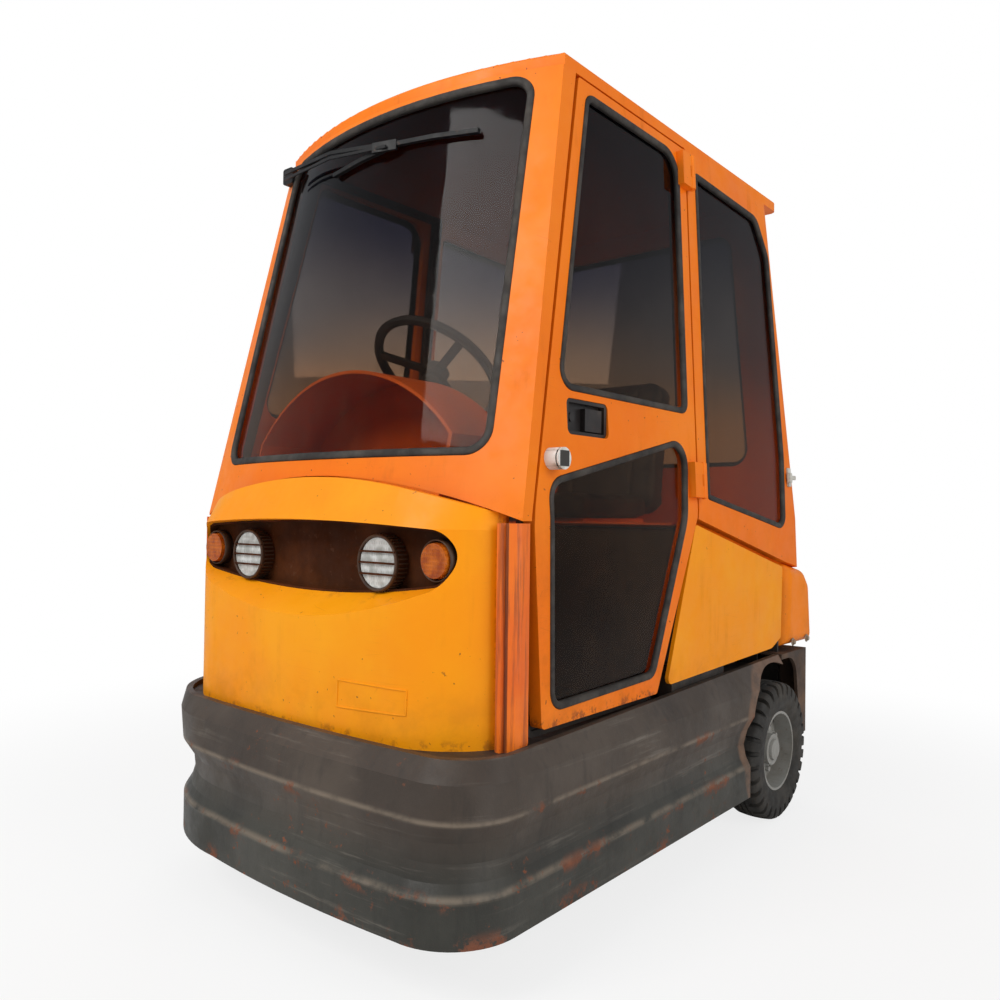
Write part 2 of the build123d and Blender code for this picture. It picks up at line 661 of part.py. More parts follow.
# Tow coupling: a fixed jaw with a bored top and bottom plate
with BuildPart() as tow_coupling:
    JAW_ROOT_Y = BULKHEAD_FRONT_Y + BULKHEAD_PLATE
    with BuildSketch(Plane.XY.offset(JAW_MID_Z - JAW_GAP / 2 - JAW_PLATE)):
        with BuildLine():
            Polyline(
                (-JAW_HALF, COUPLING_PIN_Y - 10), (-JAW_HALF, JAW_ROOT_Y), (JAW_HALF, JAW_ROOT_Y),
                (JAW_HALF, COUPLING_PIN_Y - 10),
            )
            ThreePointArc((-JAW_HALF, COUPLING_PIN_Y - 10), (0, JAW_REACH_Y), (JAW_HALF, COUPLING_PIN_Y - 10))
        make_face()
    extrude(amount=JAW_GAP + 2 * JAW_PLATE)
    with BuildSketch(Plane.XY.offset(JAW_MID_Z - JAW_GAP / 2)):
        with Locations((0, COUPLING_PIN_Y + 12)):
            Rectangle(3 * JAW_HALF, 2 * (COUPLING_PIN_Y + 12 - JAW_ROOT_Y - 22.0))
    extrude(amount=JAW_GAP, mode=Mode.SUBTRACT)
    with BuildSketch(Plane.XZ.offset(-JAW_ROOT_Y - 14.0)):
        with Locations((0, JAW_MID_Z)):
            Rectangle(190.0, 150.0)
            with GridLocations(150.0, 110.0, 2, 2):
                Circle(8.5, mode=Mode.SUBTRACT)
    extrude(amount=14.0)
    with BuildSketch(Plane.XY):
        with Locations((0, COUPLING_PIN_Y)):
            Circle(COUPLING_PIN_R)
    extrude(amount=CUT / 2, mode=Mode.SUBTRACT)
tow_coupling.part.label = "tow_coupling"
export_step(tow_coupling.part, "parts/tow_coupling.step")


# Nose panel with its eye-shaped lamp recess
def nose_plan(level, inset):
    z, front = level
    half = NOSE_HALF - inset
    front = front + inset
    side_y = -680.0 + (front - NOSE_FRONT_Y) * 0.1
    with BuildSketch(Plane.XY.offset(z)) as plan:
        with BuildLine():
            ThreePointArc((-300.0, front + 17.0), (0, front), (300.0, front + 17.0))
            ThreePointArc((300.0, front + 17.0), (435.0 - inset, front + 66.0), (half, side_y))
            Polyline((half, side_y), (half, -640.0), (-half, -640.0), (-half, side_y))
            ThreePointArc((-half, side_y), (inset - 435.0, front + 66.0), (-300.0, front + 17.0))
        make_face()
    return plan.sketch


def nose_volume(inset):
    with BuildPart() as volume:
        for low, high in zip(NOSE_LEVELS, NOSE_LEVELS[1:]):
            loft([nose_plan(level, inset) for level in (low, high)], ruled=True)
    return volume.part


# Eye-shaped recess: half outlines at the nose's face and at the dark box behind it
RECESS_FACE = ((0.0, 896.0), (410.0, 882.0), (450.0, 862.0), (462.0, 820.0), (448.0, 772.0), (400.0, 736.0), (0.0, 676.0))
RECESS_DEEP = ((0.0, 893.0), (404.0, 879.0), (437.0, 859.0), (448.0, 818.0), (433.0, 784.0), (388.0, 760.0), (0.0, 731.0))
# how far each point moves when the outline grows
RECESS_GROW = ((0.0, 1.0), (0.0, 1.0), (0.7, 0.7), (1.0, 0.0), (0.7, -0.7), (0.0, -1.0), (0.0, -1.0))


def recess_loop(y, half_outline, grow=0.0):
    right = [(x + grow * gx, z + grow * gz) for (x, z), (gx, gz) in zip(half_outline, RECESS_GROW)]
    left = [(-x, z) for x, z in right]
    top, shoulder, upper_bend, end, lower_bend, lip, low = right
    with BuildSketch(Plane.XZ.offset(-y)) as eye:
        with BuildLine():
            ThreePointArc(left[1], top, shoulder)
            ThreePointArc(shoulder, upper_bend, end)
            ThreePointArc(end, lower_bend, lip)
            ThreePointArc(lip, low, left[5])
            ThreePointArc(left[5], left[4], left[3])
            ThreePointArc(left[3], left[2], left[1])
        make_face()
    return eye.sketch


FUNNEL_FRONT_Y = NOSE_FRONT_Y - 6.0
FUNNEL_BACK_Y = NOSE_FRONT_Y + FUNNEL_DEPTH


def recess_funnel(grow, reach):
    with BuildPart() as funnel:
        loft(
            [recess_loop(FUNNEL_FRONT_Y, RECESS_FACE, grow), recess_loop(FUNNEL_BACK_Y, RECESS_DEEP, grow)],
            ruled=True,
        )
        extrude(recess_loop(FUNNEL_BACK_Y, RECESS_DEEP, grow), amount=-reach)
    return funnel.part


with BuildPart() as nose_panel:
    add(nose_volume(0.0))
    add(nose_volume(NOSE_WALL), mode=Mode.SUBTRACT)
    add(nose_volume(0.0).intersect(recess_funnel(FUNNEL_WALL, COLLAR)))
    add(recess_funnel(0.0, CUT / 4), mode=Mode.SUBTRACT)
    with BuildSketch(Plane.XZ):
        with BuildLine():
            ThreePointArc(
                (-BELT_HALF_WIDTH - 5, NOSE_ARCH_SIDE_Z - 3), (0, NOSE_ARCH_TOP_Z - 3),
                (BELT_HALF_WIDTH + 5, NOSE_ARCH_SIDE_Z - 3),
            )
            Polyline(
                (BELT_HALF_WIDTH + 5, NOSE_ARCH_SIDE_Z - 3), (BELT_HALF_WIDTH + 5, 0),
                (-BELT_HALF_WIDTH - 5, 0), (-BELT_HALF_WIDTH - 5, NOSE_ARCH_SIDE_Z - 3),
            )
        make_face()
    extrude(amount=CUT, mode=Mode.INTERSECT)
nose_panel.part.label = "nose_panel"
export_step(nose_panel.part, "parts/nose_panel.step")

# Dark box behind the recess
LAMP_BACK_Y = NOSE_FRONT_Y + RECESS_DEPTH
BOX_BACK_Y = LAMP_BACK_Y + LAMP_BOX_WALL
with BuildPart() as lamp_box:
    extrude(recess_loop(BOX_BACK_Y, RECESS_DEEP, -SEAT_GAP), amount=BOX_BACK_Y - FUNNEL_BACK_Y)
    extrude(recess_loop(LAMP_BACK_Y, RECESS_DEEP, -LAMP_BOX_WALL), amount=CUT, mode=Mode.SUBTRACT)
    add(nose_volume(NOSE_WALL - 4.0), mode=Mode.INTERSECT)

# Headlamps: round housings in the recess, glasses and guard bars
with BuildPart() as headlamps:
    add(lamp_box.part)
    for side in (-1, 1):
        with BuildSketch(Plane.XZ.offset(-LAMP_BACK_Y)):
            with Locations((side * LAMP_X, LAMP_Z)):
                Circle(LAMP_R)
        extrude(amount=LAMP_BACK_Y - LAMP_FACE_Y)
        with BuildSketch(Plane.XZ.offset(-LAMP_FACE_Y - 10.0)):
            with Locations((side * LAMP_X, LAMP_Z)):
                Circle(LAMP_R - 6.0)
        extrude(amount=10.0, mode=Mode.SUBTRACT)
        for bar_z in (-24.0, 0.0, 24.0):
            with BuildSketch(Plane.XZ.offset(-LAMP_FACE_Y)):
                with Locations((side * LAMP_X, LAMP_Z + bar_z)):
                    Rectangle(2 * LAMP_R - 8.0, 4.0)
            extrude(amount=5.0)
headlamps.part.label = "headlamps"
export_step(headlamps.part, "parts/headlamps.step")

with BuildPart() as headlamp_glass:
    for side in (-1, 1):
        with BuildSketch(Plane.XZ.offset(-LAMP_FACE_Y - 10.0)):
            with Locations((side * LAMP_X, LAMP_Z)):
                Circle(LAMP_R - 6.0)
        extrude(amount=10.0)
headlamp_glass.part.label = "headlamp_glass"
export_step(headlamp_glass.part, "parts/headlamp_glass.step")

with BuildPart() as turn_signals:
    for side in (-1, 1):
        with BuildSketch(Plane.XZ.offset(-LAMP_BACK_Y + SEAT_GAP)):
            with Locations((side * SIGNAL_X, SIGNAL_Z)):
                Circle(SIGNAL_R)
        extrude(amount=30.0, taper=8.0)
turn_signals.part.label = "turn_signals"
export_step(turn_signals.part, "parts/turn_signals.step")

# Battery bay: slanted front wall, rear wall and sills; battery; side panels; hood
HOOD_PLATE = 6.0
HOOD_FRONT_Y = 20.0
HOOD_REAR_Y = 660.0
HOOD_HALF = 499.5
SEAT_RAIL_Z = 900.0
SEAT_RAIL_HALF = 190.0
SILL_OUTER_X = 545.6


def hood_under(y):
    slope = (CAB_SIDE_LOWER[1][1] - CAB_SIDE_LOWER[0][1]) / (CAB_SIDE_LOWER[1][0] - CAB_SIDE_LOWER[0][0])
    return CAB_SIDE_LOWER[0][1] - 27.0 + slope * (y - CAB_SIDE_LOWER[0][0])


with BuildPart() as battery_bay:
    with BuildSketch(Plane.YZ):
        with BuildLine():
            Polyline(
                (-104.0, DECK_TOP_Z), (-104.0 + BAY_WALL, DECK_TOP_Z), (44.0 + BAY_WALL, hood_under(44.0 + BAY_WALL)),
                (44.0, hood_under(44.0 + BAY_WALL)), close=True,
            )
        make_face()
    extrude(amount=BAY_HALF, both=True)
    with BuildSketch(Plane.YZ):
        with BuildLine():
            Polyline(
                (628.0, DECK_TOP_Z), (628.0 + BAY_WALL, DECK_TOP_Z), (628.0 + BAY_WALL, hood_under(628.0 + BAY_WALL)),
                (628.0, hood_under(628.0 + BAY_WALL)), close=True,
            )
        make_face()
    extrude(amount=PANEL_BACK_X, both=True)
    with BuildSketch(Plane.XY.offset(DECK_TOP_Z)):
        for side in (-1, 1):
            with Locations((side * (SILL_OUTER_X - 20.0), 95.0)):
                Rectangle(40.0, 300.0)
    extrude(amount=90.0)
    with BuildSketch(Plane.XY.offset(DECK_TOP_Z)):
        for side in (-1, 1):
            with Locations((side * BELT_HALF_WIDTH, REAR_AXLE_Y)):
                Rectangle(2 * (BELT_HALF_WIDTH - REAR_TYRE_INNER_X + 12.0), 2 * (ARCH_R + WHEEL_HOLE_GROW))
    extrude(amount=45.0, mode=Mode.SUBTRACT)
battery_bay.part.label = "battery_bay"
export_step(battery_bay.part, "parts/battery_bay.step")

with BuildPart() as battery:
    with BuildSketch(Plane.XY.offset(DECK_TOP_Z)):
        with Locations((0, (BATTERY_FRONT_Y + BATTERY_REAR_Y) / 2)):
            Rectangle(2 * BATTERY_HALF, BATTERY_REAR_Y - BATTERY_FRONT_Y)
    extrude(amount=BATTERY_TOP_Z - DECK_TOP_Z)
battery.part.label = "battery"
export_step(battery.part, "parts/battery.step")

with BuildPart() as side_panels:
    extrude(
        outline(Plane.YZ.offset(PANEL_BACK_X), SIDE_PANEL), amount=BELT_HALF_WIDTH - PANEL_BACK_X,
    )
    mirror(about=Plane.YZ)
side_panels.part.label = "side_panels"
export_step(side_panels.part, "parts/side_panels.step")

with BuildPart() as seat_platform:
    with BuildSketch(Plane.YZ):
        with BuildLine():
            Polyline(
                (HOOD_FRONT_Y, hood_under(HOOD_FRONT_Y)), (HOOD_REAR_Y, hood_under(HOOD_REAR_Y)),
                (HOOD_REAR_Y, hood_under(HOOD_REAR_Y) + HOOD_PLATE), (HOOD_FRONT_Y, hood_under(HOOD_FRONT_Y) + HOOD_PLATE),
                close=True,
            )
        make_face()
    extrude(amount=HOOD_HALF, both=True)
    with BuildSketch(Plane.YZ):
        with BuildLine():
            Polyline(
                (60.0, SEAT_RAIL_Z), (400.0, SEAT_RAIL_Z), (400.0, hood_under(400.0) + HOOD_PLATE),
                (60.0, hood_under(60.0) + HOOD_PLATE), close=True,
            )
        make_face()
    extrude(amount=SEAT_RAIL_HALF, both=True)
seat_platform.part.label = "seat_platform"
export_step(seat_platform.part, "parts/seat_platform.step")

# Rear body and its lamps
REAR_BODY_HALF = 560.0
REAR_CORNERS = lambda edge: edge.center().Y > 880 and 520 < edge.center().Z < 690 and abs(edge.center().X) > 500
with BuildPart() as rear_body:
    extrude(outline(Plane.YZ, REAR_BODY), amount=REAR_BODY_HALF, both=True)
    fillet(rear_body.edges().filter_by(REAR_CORNERS), radius=38.0)
rear_body.part.label = "rear_body"
export_step(rear_body.part, "parts/rear_body.step")

with BuildPart() as rear_lamps:
    for side in (-1, 1):
        for row_z in (560.0, 625.0):
            lamp_y = 906.0 - (row_z - 515.0) * (22.0 / 175.0)
            with BuildSketch(Plane.XZ.offset(-lamp_y - 12.0)):
                with Locations((side * 440.0, row_z)):
                    Circle(28.0)
            extrude(amount=16.0)
    add(rear_body.part, mode=Mode.SUBTRACT)
rear_lamps.part.label = "rear_lamps"
export_step(rear_lamps.part, "parts/rear_lamps.step")

# Rear mudguards: a top and a rear plate with an outer cheek behind each wheel
GUARD_REAR_Y = BULKHEAD_FRONT_Y + BULKHEAD_PLATE
GUARD_INNER_X = BULKHEAD_HALF + SEAT_GAP
GUARD_OUTER_X = 565.0
GUARD_CHEEK = 10.0
GUARD_PLATE = 6.0
GUARD_TOP_Z = 480.0
GUARD_FRONT_Y = SKIRT_REAR_Y + PANEL_GAP
GUARD_OPENING = (
    # y, z, radius
    (REAR_AXLE_Y, 100.0, 5.0),
    (792.0, 100.0, 5.0),
    (736.0, 464.0, 75.0),
    (REAR_AXLE_Y, 464.0, 5.0),
)
with BuildPart() as mudguards:
    with BuildSketch(Plane.YZ.offset(GUARD_INNER_X)):
        with BuildLine():
            Polyline(
                (GUARD_FRONT_Y, TYRE_R), (GUARD_REAR_Y, TYRE_R), (GUARD_REAR_Y, GUARD_TOP_Z),
                (GUARD_FRONT_Y, GUARD_TOP_Z), close=True,
            )
        make_face()
    extrude(amount=GUARD_OUTER_X - GUARD_INNER_X)
    extrude(outline(Plane.YZ.offset(GUARD_INNER_X), GUARD_OPENING), amount=CUT, mode=Mode.SUBTRACT)
    with BuildSketch(Plane.YZ.offset(GUARD_INNER_X)):
        with BuildLine():
            Polyline(
                (0, 0), (GUARD_REAR_Y - GUARD_PLATE, 0), (GUARD_REAR_Y - GUARD_PLATE, GUARD_TOP_Z - GUARD_PLATE),
                (0, GUARD_TOP_Z - GUARD_PLATE), close=True,
            )
        make_face()
    extrude(amount=GUARD_OUTER_X - GUARD_INNER_X - GUARD_CHEEK, mode=Mode.SUBTRACT)
    mirror(about=Plane.YZ)
mudguards.part.label = "mudguards"
export_step(mudguards.part, "parts/mudguards.step")

# Rear drive axle: tube, gear case, motor and the two hub spindles
with BuildPart() as drive_axle:
    with BuildSketch(Plane.YZ.offset(-RAIL_X - 40.0)):
        with Locations((REAR_AXLE_Y, TYRE_R)):
            Circle(AXLE_TUBE_R)
    extrude(amount=2 * RAIL_X + 80.0)
    with BuildSketch(Plane.YZ.offset(-90.0)):
        with Locations((REAR_AXLE_Y, TYRE_R + 15.0)):
            Circle(112.0)
    extrude(amount=180.0)
    with BuildSketch(Plane.XZ.offset(-REAR_AXLE_Y + 60.0)):
        with Locations((0, TYRE_R + 75.0)):
            Circle(118.0)
    extrude(amount=250.0)
    for side in (-1, 1):
        with BuildSketch(Plane.YZ.offset(side * (RAIL_X + 40.0))):
            with Locations((REAR_AXLE_Y, TYRE_R)):
                Circle(SPINDLE_R)
        extrude(amount=side * (REAR_WHEEL_X + 20.0 - RAIL_X - 40.0))
drive_axle.part.label = "drive_axle"
export_step(drive_axle.part, "parts/drive_axle.step")

# Front axle beam with a fork at each kingpin
FORK_TOP = KNUCKLE_HEIGHT / 2 + SEAT_GAP
with BuildPart() as front_axle:
    with BuildSketch(Plane.YZ.offset(-KINGPIN_X + 60.0)):
        with Locations((FRONT_AXLE_Y, (AXLE_BEAM_TOP_Z + 150.0) / 2)):
            Rectangle(84.0, AXLE_BEAM_TOP_Z - 150.0)
    extrude(amount=2 * KINGPIN_X - 120.0)
    for side in (-1, 1):
        for low in (TYRE_R - FORK_TOP - FORK_PLATE, TYRE_R + FORK_TOP):
            with BuildSketch(Plane.XY.offset(low)):
                with Locations((side * KINGPIN_X, FRONT_AXLE_Y)):
                    Circle(24.0)
                with Locations((side * (KINGPIN_X - 45.0), FRONT_AXLE_Y)):
                    Rectangle(90.0, 48.0)
                with Locations((side * KINGPIN_X, FRONT_AXLE_Y)):
                    Circle(KINGPIN_R + SPINDLE_FIT, mode=Mode.SUBTRACT)
            extrude(amount=FORK_PLATE)
        with BuildSketch(Plane.XY.offset(TYRE_R - FORK_TOP - FORK_PLATE)):
            with Locations((side * (KINGPIN_X - 72.0), FRONT_AXLE_Y)):
                Rectangle(36.0, 44.0)
        extrude(amount=2 * (FORK_TOP + FORK_PLATE))
front_axle.part.label = "front_axle"
export_step(front_axle.part, "parts/front_axle.step")

# Steering knuckles: barrel, kingpin, wheel spindle and track arm
TIE_Y = FRONT_AXLE_Y + STEER_ARM
for name, side in (("knuckle_left", 1), ("knuckle_right", -1)):
    with BuildPart() as knuckle:
        with BuildSketch(Plane.XY.offset(TYRE_R - KNUCKLE_HEIGHT / 2)):
            with Locations((side * KINGPIN_X, FRONT_AXLE_Y)):
                Circle(24.0)
        extrude(amount=KNUCKLE_HEIGHT)
        with BuildSketch(Plane.XY.offset(TYRE_R - KNUCKLE_HEIGHT / 2 - FORK_PLATE)):
            with Locations((side * KINGPIN_X, FRONT_AXLE_Y)):
                Circle(KINGPIN_R)
        extrude(amount=KNUCKLE_HEIGHT + 2 * FORK_PLATE)
        with BuildSketch(Plane.YZ.offset(side * KINGPIN_X)):
            with Locations((FRONT_AXLE_Y, TYRE_R)):
                Circle(SPINDLE_R)
        extrude(amount=side * (FRONT_WHEEL_X + 20.0 - KINGPIN_X))
        with BuildSketch(Plane.XY.offset(TYRE_R - 12.0)):
            with Locations((side * KINGPIN_X, FRONT_AXLE_Y + STEER_ARM / 2)):
                Rectangle(22.0, STEER_ARM)
            with Locations((side * KINGPIN_X, TIE_Y)):
                Circle(18.0)
        extrude(amount=16.0)
        with BuildSketch(Plane.XY.offset(TYRE_R + 4.0)):
            with Locations((side * KINGPIN_X, TIE_Y)):
                Circle(8.0)
        extrude(amount=24.0)
    knuckle.part.label = name
    export_step(knuckle.part, f"parts/{name}.step")

with BuildPart() as tie_rod:
    with BuildSketch(Plane.XY.offset(TYRE_R + 4.5)):
        for side in (-1, 1):
            with Locations((side * KINGPIN_X, TIE_Y)):
                Circle(16.0)
    extrude(amount=22.0)
    with BuildSketch(Plane.YZ.offset(-KINGPIN_X + 10.0)):
        with Locations((TIE_Y, TYRE_R + 15.5)):
            Circle(TIE_ROD_R)
    extrude(amount=2 * KINGPIN_X - 20.0)
    with BuildSketch(Plane.XY.offset(TYRE_R)):
        for side in (-1, 1):
            with Locations((side * KINGPIN_X, TIE_Y)):
                Circle(8.0 + 0.4)
    extrude(amount=60.0, mode=Mode.SUBTRACT)
tie_rod.part.label = "tie_rod"
export_step(tie_rod.part, "parts/tie_rod.step")

# Wheels: solid tyre on a dished disc with hand holes, both turned as regular polygons
WHEEL_SIDES = 36
WHEELS = (
    # name, side, centre x, centre y
    ("front_left", 1, FRONT_WHEEL_X, FRONT_AXLE_Y),
    ("front_right", -1, -FRONT_WHEEL_X, FRONT_AXLE_Y),
    ("rear_left", 1, REAR_WHEEL_X, REAR_AXLE_Y),
    ("rear_right", -1, -REAR_WHEEL_X, REAR_AXLE_Y),
)
TYRE_HALF = TYRE_WIDTH / 2
TREAD_PROFILE = (
    # x from the middle, radius at the corners of the polygon
    (-TYRE_HALF, TYRE_R - 42.0),
    (3.0 - TYRE_HALF, TYRE_R - 14.0),
    (14.0 - TYRE_HALF, TYRE_R - 3.0),
    (0.0, TYRE_R),
    (TYRE_HALF - 14.0, TYRE_R - 3.0),
    (TYRE_HALF - 3.0, TYRE_R - 14.0),
    (TYRE_HALF, TYRE_R - 42.0),
)
SIDEWALL_PROFILE = (
    # x from the middle, radius of the hollow in the side wall
    (TYRE_HALF - 10.0, RIM_R - 2.0),
    (TYRE_HALF - 2.0, RIM_R + 12.0),
    (TYRE_HALF + 0.5, RIM_R + 38.0),
)
RIM_HALF = TYRE_HALF - 10.0
DISC_HALF = 4.0
DISC_DISH = 14.0
HUB_HALF = 22.0
HUB_OUT = 6.0


def wheel_loop(centre, x, radius, corners=True):
    with BuildSketch(Plane(origin=(centre[0] + x, centre[1], TYRE_R), x_dir=(0, 1, 0), z_dir=(1, 0, 0))) as loop:
        RegularPolygon(radius=radius, side_count=WHEEL_SIDES, major_radius=corners)
    return loop.sketch


def wheel_stack(centre, profile, flip=1):
    with BuildPart() as stack:
        for low, high in zip(profile, profile[1:]):
            loft([wheel_loop(centre, flip * x, radius) for x, radius in (low, high)], ruled=True)
    return stack.part


for name, side, centre_x, centre_y in WHEELS:
    centre = (centre_x, centre_y)
    with BuildPart() as tyre:
        add(wheel_stack(centre, TREAD_PROFILE))
        for flip in (-1, 1):
            add(wheel_stack(centre, SIDEWALL_PROFILE, flip), mode=Mode.SUBTRACT)
        extrude(wheel_loop(centre, -TYRE_WIDTH, RIM_R, corners=False), amount=2 * TYRE_WIDTH, mode=Mode.SUBTRACT)
    tyre.part.label = f"tyre_{name}"
    export_step(tyre.part, f"parts/tyre_{name}.step")

    well = RIM_R - RIM_WALL
    disc_plane = Plane(origin=(centre_x, centre_y, TYRE_R), x_dir=(0, 1, 0), z_dir=(1, 0, 0))
    with BuildPart() as rim:
        extrude(wheel_loop(centre, -RIM_HALF, RIM_R - SEAT_GAP, corners=False), amount=2 * RIM_HALF)
        extrude(wheel_loop(centre, -RIM_HALF, well), amount=2 * RIM_HALF, mode=Mode.SUBTRACT)
        loft(
            [
                wheel_loop(centre, side * (HUB_OUT + DISC_HALF), HUB_R),
                wheel_loop(centre, side * (DISC_HALF - DISC_DISH), RIM_R - RIM_WALL / 2),
            ],
            ruled=True,
        )
        extrude(wheel_loop(centre, side * (DISC_HALF - DISC_DISH), RIM_R - RIM_WALL / 2), amount=-side * 2 * DISC_HALF)
        loft(
            [
                wheel_loop(centre, side * (HUB_OUT - DISC_HALF - 1.0), HUB_R),
                wheel_loop(centre, side * (-DISC_HALF - DISC_DISH), well - 1.0),
            ],
            ruled=True, mode=Mode.SUBTRACT,
        )
        with BuildSketch(disc_plane.offset(side * HUB_OUT - HUB_HALF)):
            Circle(HUB_R)
        extrude(amount=2 * HUB_HALF)
        with BuildSketch(disc_plane.offset(-TYRE_WIDTH)):
            Circle(SPINDLE_R + SPINDLE_FIT)
            with PolarLocations((HUB_R + well) / 2 + 2.0, 6):
                RegularPolygon(radius=13.0, side_count=12)
        extrude(amount=2 * TYRE_WIDTH, mode=Mode.SUBTRACT)
    rim.part.label = f"rim_{name}"
    export_step(rim.part, f"parts/rim_{name}.step")

# Dash: an arched cover over the pedals, with the steering column through it
COWL_REAR_Y = -475.0
COWL_HALF = 345.0
COWL_SHOULDER_Z = 1085.0
COWL_TOP_Z = 1250.0
COWL_WALL = 8.0


def cowl_arch(y, inset):
    with BuildSketch(Plane.XZ.offset(-y)) as arch:
        with BuildLine():
            ThreePointArc(
                (COWL_HALF - inset, COWL_SHOULDER_Z), (0, COWL_TOP_Z - inset), (inset - COWL_HALF, COWL_SHOULDER_Z),
            )
            Polyline(
                (inset - COWL_HALF, COWL_SHOULDER_Z), (inset - COWL_HALF, DECK_TOP_Z),
                (COWL_HALF - inset, DECK_TOP_Z), (COWL_HALF - inset, COWL_SHOULDER_Z),
            )
        make_face()
    return arch.sketch


with BuildPart() as dash_cowl:
    extrude(cowl_arch(COWL_REAR_Y, 0.0), amount=260.0)
    add(cab_volume(CAB_WALL + 6.0), mode=Mode.INTERSECT)
    extrude(cowl_arch(COWL_REAR_Y - COWL_WALL, COWL_WALL), amount=260.0, mode=Mode.SUBTRACT)
    with BuildSketch(Plane.XY.offset(DECK_TOP_Z)):
        with Locations((0, COWL_REAR_Y)):
            Rectangle(2 * COWL_HALF - 110.0, 30.0)
    extrude(amount=330.0, mode=Mode.SUBTRACT)
STEER_PLANE = Plane(origin=STEER_CENTRE, x_dir=(1, 0, 0), z_dir=(0, sin(radians(STEER_RAKE)), cos(radians(STEER_RAKE))))
with BuildPart() as dash_column:
    with BuildSketch(STEER_PLANE.offset(-30.0)):
        Circle(COLUMN_R)
    extrude(amount=-240.0)
    with BuildSketch(STEER_PLANE.offset(-30.0)):
        Circle(9.0)
    extrude(amount=26.0)
    extrude(cowl_arch(COWL_REAR_Y - COWL_WALL, COWL_WALL), amount=260.0, mode=Mode.SUBTRACT)
    add(dash_cowl.part)
dash_column.part.label = "dash_column"
export_step(dash_column.part, "parts/dash_column.step")

with BuildPart() as steering_wheel:
    with BuildSketch(Plane(origin=STEER_CENTRE, x_dir=(1, 0, 0), z_dir=(0, -cos(radians(STEER_RAKE)), sin(radians(STEER_RAKE))))):
        with Locations((STEER_RIM_R, 0)):
            RegularPolygon(radius=STEER_GRIP_R, side_count=8)
    revolve(axis=Axis(STEER_CENTRE, (0, sin(radians(STEER_RAKE)), cos(radians(STEER_RAKE)))))
    with BuildSketch(STEER_PLANE.offset(-24.0)):
        Circle(34.0)
        Circle(9.0 + SPINDLE_FIT, mode=Mode.SUBTRACT)
    extrude(amount=26.0)
    with BuildSketch(STEER_PLANE.offset(2.0)):
        Circle(34.0)
    extrude(amount=6.0)
    for angle in (90.0, 210.0, 330.0):
        with BuildSketch(STEER_PLANE.offset(-9.0)):
            with PolarLocations((STEER_RIM_R + 24.0) / 2, 1, start_angle=angle):
                Rectangle(STEER_RIM_R - 30.0, 24.0)
        extrude(amount=10.0)
steering_wheel.part.label = "steering_wheel"
export_step(steering_wheel.part, "parts/steering_wheel.step")

# Seat: cushion and back
with BuildPart() as seat_cushion:
    with BuildSketch(Plane.XY.offset(SEAT_RAIL_Z + SEAT_GAP)):
        with Locations((0, 199.25)):
            RectangleRounded(460.0, 458.5, 50.0)
    extrude(amount=75.0)
    fillet(seat_cushion.faces().sort_by(Axis.Z)[-1].edges(), radius=22.0)
seat_cushion.part.label = "seat_cushion"
export_step(seat_cushion.part, "parts/seat_cushion.step")

with BuildPart() as seat_back:
    with BuildSketch(Plane(origin=(0, 424.6, 900.0), x_dir=(1, 0, 0), z_dir=(0, -1, 0.16))):
        with Locations((0, 245.0)):
            RectangleRounded(430.0, 480.0, 60.0)
    extrude(amount=-85.0)
    fillet(seat_back.faces().sort_by(Axis.Y)[0].edges(), radius=22.0)
seat_back.part.label = "seat_back"
export_step(seat_back.part, "parts/seat_back.step")

# Wiper: motor housing at the roof corner and two arms to a blade
WIPER_PIVOT = (-452.0, 1884.0)
BLADE_PROUD = 1.0
WIPER_BARS = (
    # start x, z and proud, end x, z and proud, width, thickness
    (-446.0, 1880.0, 34.0, -150.0, 1838.0, 30.0, 9.0, 5.0),
    (-150.0, 1838.0, 30.0, 20.0, 1812.0, 16.0, 9.0, 5.0),
    (-438.0, 1858.0, 34.0, -150.0, 1823.0, 30.0, 7.0, 4.0),
    (-150.0, 1823.0, 30.0, 60.0, 1800.0, 16.0, 7.0, 4.0),
    (-156.0, 1786.0, BLADE_PROUD, -38.0, 1796.0, BLADE_PROUD, 10.0, 12.0),
    (-38.0, 1796.0, BLADE_PROUD, 80.0, 1806.0, BLADE_PROUD, 10.0, 12.0),
    (80.0, 1806.0, BLADE_PROUD, 198.0, 1796.0, BLADE_PROUD, 10.0, 12.0),
    (198.0, 1796.0, BLADE_PROUD, 317.0, 1785.0, BLADE_PROUD, 10.0, 12.0),
    (14.0, 1806.0, 16.0, 84.0, 1803.0, 4.0, 24.0, 8.0),
)


def screen_point(x, z, proud):
    return Vector(x, front_y(x, z) - proud, z)


with BuildPart() as wiper:
    with BuildSketch(Plane.XZ.offset(-front_y(WIPER_PIVOT[0], WIPER_PIVOT[1]) - 14.0)):
        with Locations((WIPER_PIVOT[0] + 4.0, WIPER_PIVOT[1] - 6.0)):
            Circle(15.0)
    extrude(amount=26.0)
    with BuildSketch(Plane.XZ.offset(-front_y(WIPER_PIVOT[0], WIPER_PIVOT[1]) - 16.0)):
        with Locations((WIPER_PIVOT[0], WIPER_PIVOT[1] - 6.0)):
            RectangleRounded(44.0, 46.0, 8.0)
    extrude(amount=40.0)
    add(CAB_OUTSIDE, mode=Mode.SUBTRACT)
    for start_x, start_z, start_proud, end_x, end_z, end_proud, width, thick in WIPER_BARS:
        start = screen_point(start_x, start_z, start_proud)
        run = screen_point(end_x, end_z, end_proud) - start
        with BuildSketch(Plane(origin=start, x_dir=run.cross(Vector(0, 1, 0)), z_dir=run)):
            Rectangle(width, thick)
        extrude(amount=run.length)
wiper.part.label = "wiper"
export_step(wiper.part, "parts/wiper.step")
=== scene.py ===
import bpy
import bmesh
import json
import math
from mathutils import Vector, Matrix


